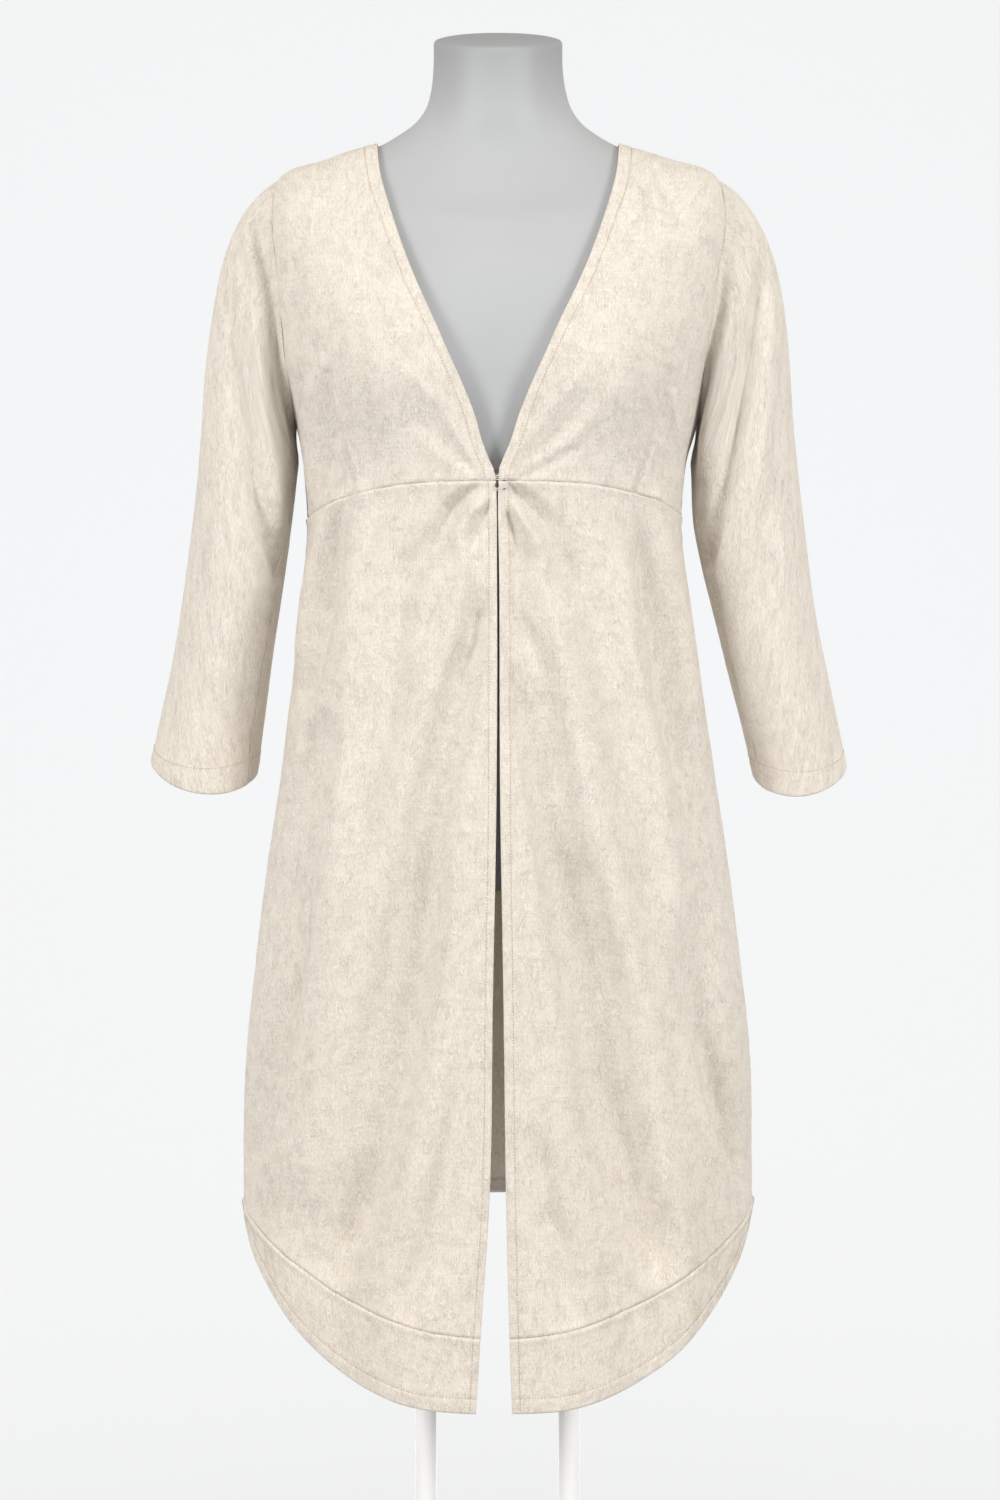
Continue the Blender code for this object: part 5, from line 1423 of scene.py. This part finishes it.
def make_panel(name, panel, grain, seed):
    """Finish a panel: its cloth, and the stitches along its turned edges."""
    relieve(panel, seed)
    item = make_cloth(f"{name}_cloth", panel, grain)
    hand_over(item, "washed linen")
    rows = [panel.line(edge, size) for edge, (kind, size) in panel.edges.items() if kind == "turned"]
    stitches = make_stitches(f"{name}_stitches", rows)
    hand_over(stitches, "thread")
    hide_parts(name)


def front_relief(panel):
    panel.rise += folds(panel.points, SKIRT_FOLDS + BODICE_FOLDS) * front_weight(panel)


def back_relief(panel):
    x, _, z = np.moveaxis(panel.points, -1, 0)
    panel.rise += creases(x, z, BACK_CREASES)


def dart_relief(panel):
    """Each dart: a pressed line between two low ridges, that ends in a dimple."""
    x, _, z = np.moveaxis(panel.points, -1, 0)
    for dart in DARTS:
        away = np.full(x.shape, 1.0)
        for (x0, z0), (x1, z1) in zip(dart, dart[1:]):
            run, lift = x1 - x0, z1 - z0
            share = np.clip(((x - x0) * run + (z - z0) * lift) / math.hypot(run, lift)**2, 0, 1)
            away = np.minimum(away, np.hypot(x - x0 - share * run, z - z0 - share * lift))
        top_x, top_z = dart[-1]
        fade = smooth((top_z - z) / DART_FADE + DART_END)
        ridge = DART_RIDGE * hill(away - DART_RIDGE_AWAY, DART_RIDGE_HALF)
        panel.rise += fade * (-DART_DEPTH * hill(away, DART_HALF) + ridge)
        panel.rise -= DART_DIMPLE * hill(np.hypot(x - top_x, z - top_z), DART_DIMPLE_HALF)


def from_middle(panel):
    """Each point's distance along its row from the row's middle."""
    return panel.start - (panel.start + panel.end) / 2


def make_bodice_front(side, name):
    edges = {"start": TURNED_NECK, "end": FLAT_SEAM, "top": FLAT_SEAM, "bottom": LOW_SEAM}
    panel = body_panel(lambda u, v: bodice_front(u, v, side), edges, spacing=0.0020)
    front_relief(panel)
    dart_relief(panel)
    reach = panel.start + np.abs(panel.points[:, :1, 0])
    grain = stack(side * reach, panel.points[..., 2])
    make_panel(f"bodice_front_{name}", panel, grain, 100 + side)


def make_skirt_front(side, name, stitched):
    edges = {"start": ("turned", stitched), "end": FLAT_SEAM, "top": PROUD_SEAM, "bottom": LOW_SEAM}
    panel = body_panel(lambda u, v: skirt_front(u, v, side), edges, spacing=0.0027)
    front_relief(panel)
    grain = stack(side * panel.start, -panel.top)
    make_panel(f"skirt_front_{name}", panel, grain, 200 + side)


def make_hem_band(side, name, stitched):
    edges = {"start": ("turned", stitched), "end": FLAT_SEAM, "top": PROUD_SEAM, "bottom": TURNED_HEM}
    panel = body_panel(lambda u, v: hem_band(u, v, side), edges, spacing=0.0022)
    front_relief(panel)
    grain = stack(side * panel.start, -panel.top) + BAND_GRAIN
    make_panel(f"hem_band_{name}", panel, grain, 300 + side)


def make_sleeve(side, name):
    edges = {"start": FLAT_SEAM, "end": FLAT_SEAM, "top": FLAT_SEAM, "bottom": TURNED_CUFF}
    panel = sleeve_panel(side, edges, spacing=0.0036)
    offset = panel.points - panel.points.mean(axis=1, keepdims=True)
    turn = np.degrees(np.arctan2(-offset[..., 1], side * offset[..., 0])) % 360
    rows = [(math.radians(a0) * SLEEVE_REACH, z0, math.radians(a1) * SLEEVE_REACH, z1, *rest)
            for a0, z0, a1, z1, *rest in SLEEVE_CREASES[side]]
    panel.rise += creases(np.radians(turn) * SLEEVE_REACH, panel.points[..., 2], rows)
    traced = SLEEVE_LEFT_FOLDS if side < 0 else SLEEVE_RIGHT_FOLDS
    panel.rise += folds(panel.points, traced) * front_weight(panel) * smooth(panel.top / CAP_FADE)
    grain = stack(from_middle(panel) + SLEEVE_GRAIN, -panel.top)
    make_panel(f"sleeve_{name}", panel, grain, 400 + side)


def make_bodice_back():
    edges = {"start": FLAT_SEAM, "end": FLAT_SEAM, "top": TURNED_NECK, "bottom": FLAT_SEAM}
    panel = body_panel(bodice_back, edges, spacing=0.0034)
    back_relief(panel)
    grain = stack(from_middle(panel) + BODICE_BACK_GRAIN, panel.points[..., 2])
    make_panel("bodice_back", panel, grain, 500)


def make_skirt_back():
    edges = {"start": FLAT_SEAM, "end": FLAT_SEAM, "top": PROUD_SEAM, "bottom": TURNED_HEM}
    panel = body_panel(skirt_back, edges, spacing=0.0040)
    back_relief(panel)
    grain = stack(from_middle(panel) + SKIRT_BACK_GRAIN, -panel.top)
    make_panel("skirt_back", panel, grain, 600)


def make_coat():
    for side, name, stitched in ((-1, "left", STITCH_LEFT), (1, "right", STITCH_RIGHT)):
        make_bodice_front(side, name)
        make_skirt_front(side, name, stitched)
        make_hem_band(side, name, stitched)
        make_sleeve(side, name)
    make_bodice_back()
    make_skirt_back()


# ---- The form, the stand and the hooks ------------------------------------------------------

HOLLOW_DEPTH = 0.3 * FORM_HOLLOW        # the chest's hollow is soft
EASE_POWER = 10                 # keeps the form's ease away from its sides
FORM_AROUND = 128
FORM_ROWS = 110
NECK_ROWS = 60
CAP_ANGLES = (30, 60, 90)       # degrees of the neck's rounded rim
CAP_INWARD = 0.055
CAP_SHARES = (0.7, 0.4, 0.15, 0.0)
FLOOR_SHARES = (0.0, 0.2, 0.5, 0.8, 0.985)


def form_point(turn, level):
    inset = follow(FORM_INSET, level)[..., 0]
    point = figure(turn, level)
    middle = hill(point[..., 0], HOLLOW_WIDTH) * hill(point[..., 2] - BUST_HEIGHT, HOLLOW_HEIGHT)
    inset = inset + HOLLOW_DEPTH * middle * np.where(point[..., 1] < 0, 1.0, 0.0)
    inset = inset + FORM_EASE * (1 - np.abs(np.sin(turn)) ** EASE_POWER)
    return point - inset[..., None] * facing(figure, turn, level)


def make_form():
    turns = np.linspace(0, 2 * math.pi, FORM_AROUND + 1)
    levels = np.concatenate([np.linspace(FORM_BOTTOM, SHOULDER_TIP, FORM_ROWS),
                             np.linspace(SHOULDER_TIP, NECK_TOP, NECK_ROWS)[1:]])
    turn, level = np.meshgrid(turns, levels)
    body = form_point(turn.ravel(), level.ravel()).reshape(*turn.shape, 3)
    body[0, :, 2] = FORM_BOTTOM
    top, low = body[-1], body[0]
    centre_top = top[:-1].mean(axis=0) + (0, 0, FORM_RIM)
    centre_low = low[:-1].mean(axis=0)
    caps = []
    for angle in np.radians(CAP_ANGLES):
        inward = 1 - CAP_INWARD * (1 - math.cos(angle))
        lift = FORM_RIM * math.sin(angle)
        caps.append((top - top.mean(axis=0)) * inward + top.mean(axis=0) + (0, 0, lift))
    rim = caps[-1]
    for share in CAP_SHARES:
        caps.append(centre_top + (rim - centre_top) * share)
    floor = [centre_low + (low - centre_low) * share for share in FLOOR_SHARES]
    item = grid_mesh("form", np.concatenate([np.array(floor), body, np.array(caps)]))
    turn_out(item, merge=True)
    item.data.shade_smooth()
    shade_by_angle(item, 35)
    hand_over(item, "form", "form_torso")


STAND_GAP = 0.0003              # between the rods and the plate, and the rods and the form
ROD_INSET = 0.002               # a rod's ends lie this deep in its flanges


def cylinder(radius, foot, head, aside=0.0, sides=48):
    """An upright cylinder between two heights."""
    bpy.ops.object.select_all(action="DESELECT")
    bpy.ops.mesh.primitive_cylinder_add(vertices=sides, radius=radius, depth=head - foot,
                                        location=(aside, 0, (foot + head) / 2))
    return bpy.context.object


def make_plate():
    plate = cylinder(1.0, 0.0, BASE_HEIGHT, sides=96)
    plate.name = "stand_plate"
    plate.scale = (BASE_HALF_WIDTH, BASE_HALF_DEPTH, 1.0)
    bpy.ops.object.transform_apply(location=True, rotation=True, scale=True)
    round_edges(plate, width=0.003, segments=4)
    hand_over(plate, "white enamel", "stand_base")


def make_rod(side, name):
    low, high = BASE_HEIGHT + STAND_GAP, FORM_BOTTOM - STAND_GAP
    aside = side * ROD_APART
    rod = join([cylinder(ROD_RADIUS, low + ROD_INSET, high - ROD_INSET, aside),
                cylinder(FLANGE_RADIUS, low, low + FLANGE_HEIGHT, aside),
                cylinder(FLANGE_RADIUS, high - FLANGE_HEIGHT, high, aside)])
    rod.name = f"rod_{name}"
    bpy.ops.object.transform_apply(location=True, rotation=True, scale=True)
    round_edges(rod, width=0.0012, segments=3)
    hand_over(rod, "white enamel", f"stand_rod_{name}")


def make_stand():
    make_plate()
    for side, name in ((-1, "left"), (1, "right")):
        make_rod(side, name)


WIRE = 0.00048
THREAD = 0.00030
LOOP = 0.0012                   # radius of the sewn loops and of the eye's nose
BEND = 0.0010                   # how far before the cloth the hook's bend turns back
BEND_WIDE, BEND_DEEP = 0.0009, 0.0006
THREAD_ENDS, THREAD_MIDDLE = -0.0006, -0.0010       # how far before the cloth a thread lies
# Hook and eye pairs: name, height and middle of the opening there.
HOOKS = (("upper", 1.1363, -0.0008), ("lower", 1.1250, -0.0002))
# Threads across the opening that sew the hooks on: x and z of both ends.
HOOK_THREADS = (
    (-0.0018, 1.1322, 0.0012, 1.1328), (-0.0020, 1.1308, 0.0010, 1.1312), (-0.0016, 1.1295, 0.0013, 1.1290),
    (-0.0014, 1.1217, 0.0014, 1.1222), (-0.0011, 1.1206, 0.0015, 1.1203), (-0.0052, 1.1262, -0.0022, 1.1266),
    (0.0020, 1.1232, 0.0036, 1.1222),
)


def arc(centre, start, stop, steps):
    """Points of a loop in the plane of the opening, between two angles in degrees."""
    x0, y0, z0 = centre
    angles = np.radians(np.linspace(start, stop, steps))
    return [(x0 + LOOP * math.cos(a), y0, z0 + LOOP * math.sin(a)) for a in angles]


def cloth_front(height):
    """How far forward the coat's surface is, in the middle at that height."""
    return float(figure(np.zeros(1), np.full(1, height))[0, 1])


def wire(name, points, where, radius=WIRE):
    """A round wire through points, moved to its place."""
    data = bpy.data.curves.new(name, "CURVE")
    data.dimensions = "3D"
    data.bevel_depth = radius
    data.bevel_resolution = 3
    data.use_fill_caps = True
    spline = data.splines.new("POLY")
    spline.points.add(len(points) - 1)
    for point, spot in zip(spline.points, points):
        point.co = (*[a + b for a, b in zip(spot, where)], 1.0)
    choose(link(name, data))
    bpy.ops.object.convert(target="MESH")
    item = bpy.context.object
    item.data.shade_smooth()
    return item


def make_eye(name, where):
    upper = arc((0.0055, 0.0012, 0.0023), 20, 250, 10)
    nose = arc((0.0, -0.0007, 0.0), 50, 310, 14)
    lead = [(0.0024, 0.0012, 0.0012), (0.0014, 0.0, 0.0011)]
    tail, lower = ([(x, y, -z) for x, y, z in reversed(part)] for part in (lead, upper))
    eye = wire(f"eye_wire_{name}", upper + lead + nose + tail + lower, where)
    hand_over(eye, "bronzed wire", f"eye_{name}")


def make_hook(name, where):
    sewn = arc((-0.0052, 0.0012, -0.0016), 200, 430, 10)
    shank = [(-0.0034, 0.0012, 0.0), (-0.0016, 0.0006, 0.0), (-0.0012, -0.0004, 0.0)]
    bend = [(BEND_WIDE * math.sin(a), -BEND - BEND_DEEP * math.cos(a), 0.0)
            for a in np.radians(np.linspace(-60, 120, 10))]
    hook = wire(f"hook_wire_{name}", sewn + shank + bend, where)
    hand_over(hook, "bronzed wire", f"hook_{name}")


def make_hook_threads():
    threads = []
    for x0, z0, x1, z1 in HOOK_THREADS:
        ends = [(x0, THREAD_ENDS, z0), ((x0 + x1) / 2, THREAD_MIDDLE, (z0 + z1) / 2),
                (x1, THREAD_ENDS, z1)]
        threads.append(wire("hook_threads", ends, (0.0, cloth_front(z0), 0.0), THREAD))
    hand_over(join(threads), "pale thread")


def make_hooks():
    for name, height, middle in HOOKS:
        where = (middle, cloth_front(height), height)
        make_eye(name, where)
        make_hook(name, where)
    make_hook_threads()


# ---- Floor, lights and camera ---------------------------------------------------------------

FRAME_HEIGHT = 1.26             # what the picture's height takes in, at the coat
SENSOR = 36.0
CAMERA_ASIDE = 0.0021
PAPER_HALF_WIDTH = 6.0
PAPER_FRONT = -6.0
PAPER_TOP = 6.0
PAPER_BEND = 1.2                # where the paper begins to curve up, and the radius it has there
PAPER_BELOW = 0.0002
SKY_COLOUR = (1.0, 0.91, 0.79, 1.0)
SKY_STRENGTH = 0.52
LAMP_COLOUR = (0.98, 0.99, 1.0)
LAMPS = (
    # name,           place,             aimed at,         size,       watts
    ("softbox_left", (-2.6, -2.3, 1.7), (0.0, 0.0, 0.90), (1.0, 1.6), 80.0),
    ("softbox_right", (2.6, -2.3, 1.7), (0.0, 0.0, 0.90), (1.0, 1.6), 80.0),
    ("softbox_above", (0.0, -2.6, 3.9), (0.0, 0.0, 0.95), (2.0, 1.4), 46.0),
    ("softbox_behind", (0.0, 1.3, 0.45), (0.0, 0.1, 0.75), (1.2, 1.2), 13.0),
)


def make_stage():
    across = np.linspace(-PAPER_HALF_WIDTH, PAPER_HALF_WIDTH, 25)
    curve = [(PAPER_FRONT, 0.0), (PAPER_BEND, 0.0)]
    for angle in np.radians(np.linspace(6, 90, 15)):
        curve.append((PAPER_BEND + PAPER_BEND * math.sin(angle), PAPER_BEND * (1 - math.cos(angle))))
    curve.append((2 * PAPER_BEND, PAPER_TOP))
    points = np.array([[(x, y, z) for x in across] for y, z in curve])
    paper = grid_mesh("studio_paper", points - (0, 0, PAPER_BELOW))
    paper.data.shade_smooth()
    paper.data.materials.append(MATERIALS["studio paper"])


def make_lamp(name, where, target, size, watts):
    data = bpy.data.lights.new(name, "AREA")
    data.shape = "RECTANGLE"
    data.size, data.size_y = size
    data.energy = watts
    data.color = LAMP_COLOUR
    item = link(name, data)
    item.location = where
    item.visible_camera = False
    x, y, z = np.array(target) - np.array(where)
    item.rotation_euler = (math.atan2(math.hypot(x, y), -z), 0, math.atan2(y, x) - QUARTER)


def make_light():
    world = bpy.data.worlds.new("studio")
    world.use_nodes = True
    sky = world.node_tree.nodes["Background"]
    sky.inputs["Color"].default_value = SKY_COLOUR
    sky.inputs["Strength"].default_value = SKY_STRENGTH
    bpy.context.scene.world = world
    for row in LAMPS:
        make_lamp(*row)


def make_camera():
    data = bpy.data.cameras.new("view")
    data.sensor_width = SENSOR
    data.lens = SENSOR * CAMERA_AWAY / FRAME_HEIGHT
    item = link("view", data)
    item.location = (CAMERA_ASIDE, -CAMERA_AWAY, CAMERA_HEIGHT)
    item.rotation_euler = (QUARTER, 0, 0)
    bpy.context.scene.camera = item


def main():
    bpy.context.scene.view_settings.view_transform = "Standard"
    make_camera()
    make_materials()
    make_coat()
    make_form()
    make_stand()
    make_hooks()
    make_stage()
    make_light()


main()
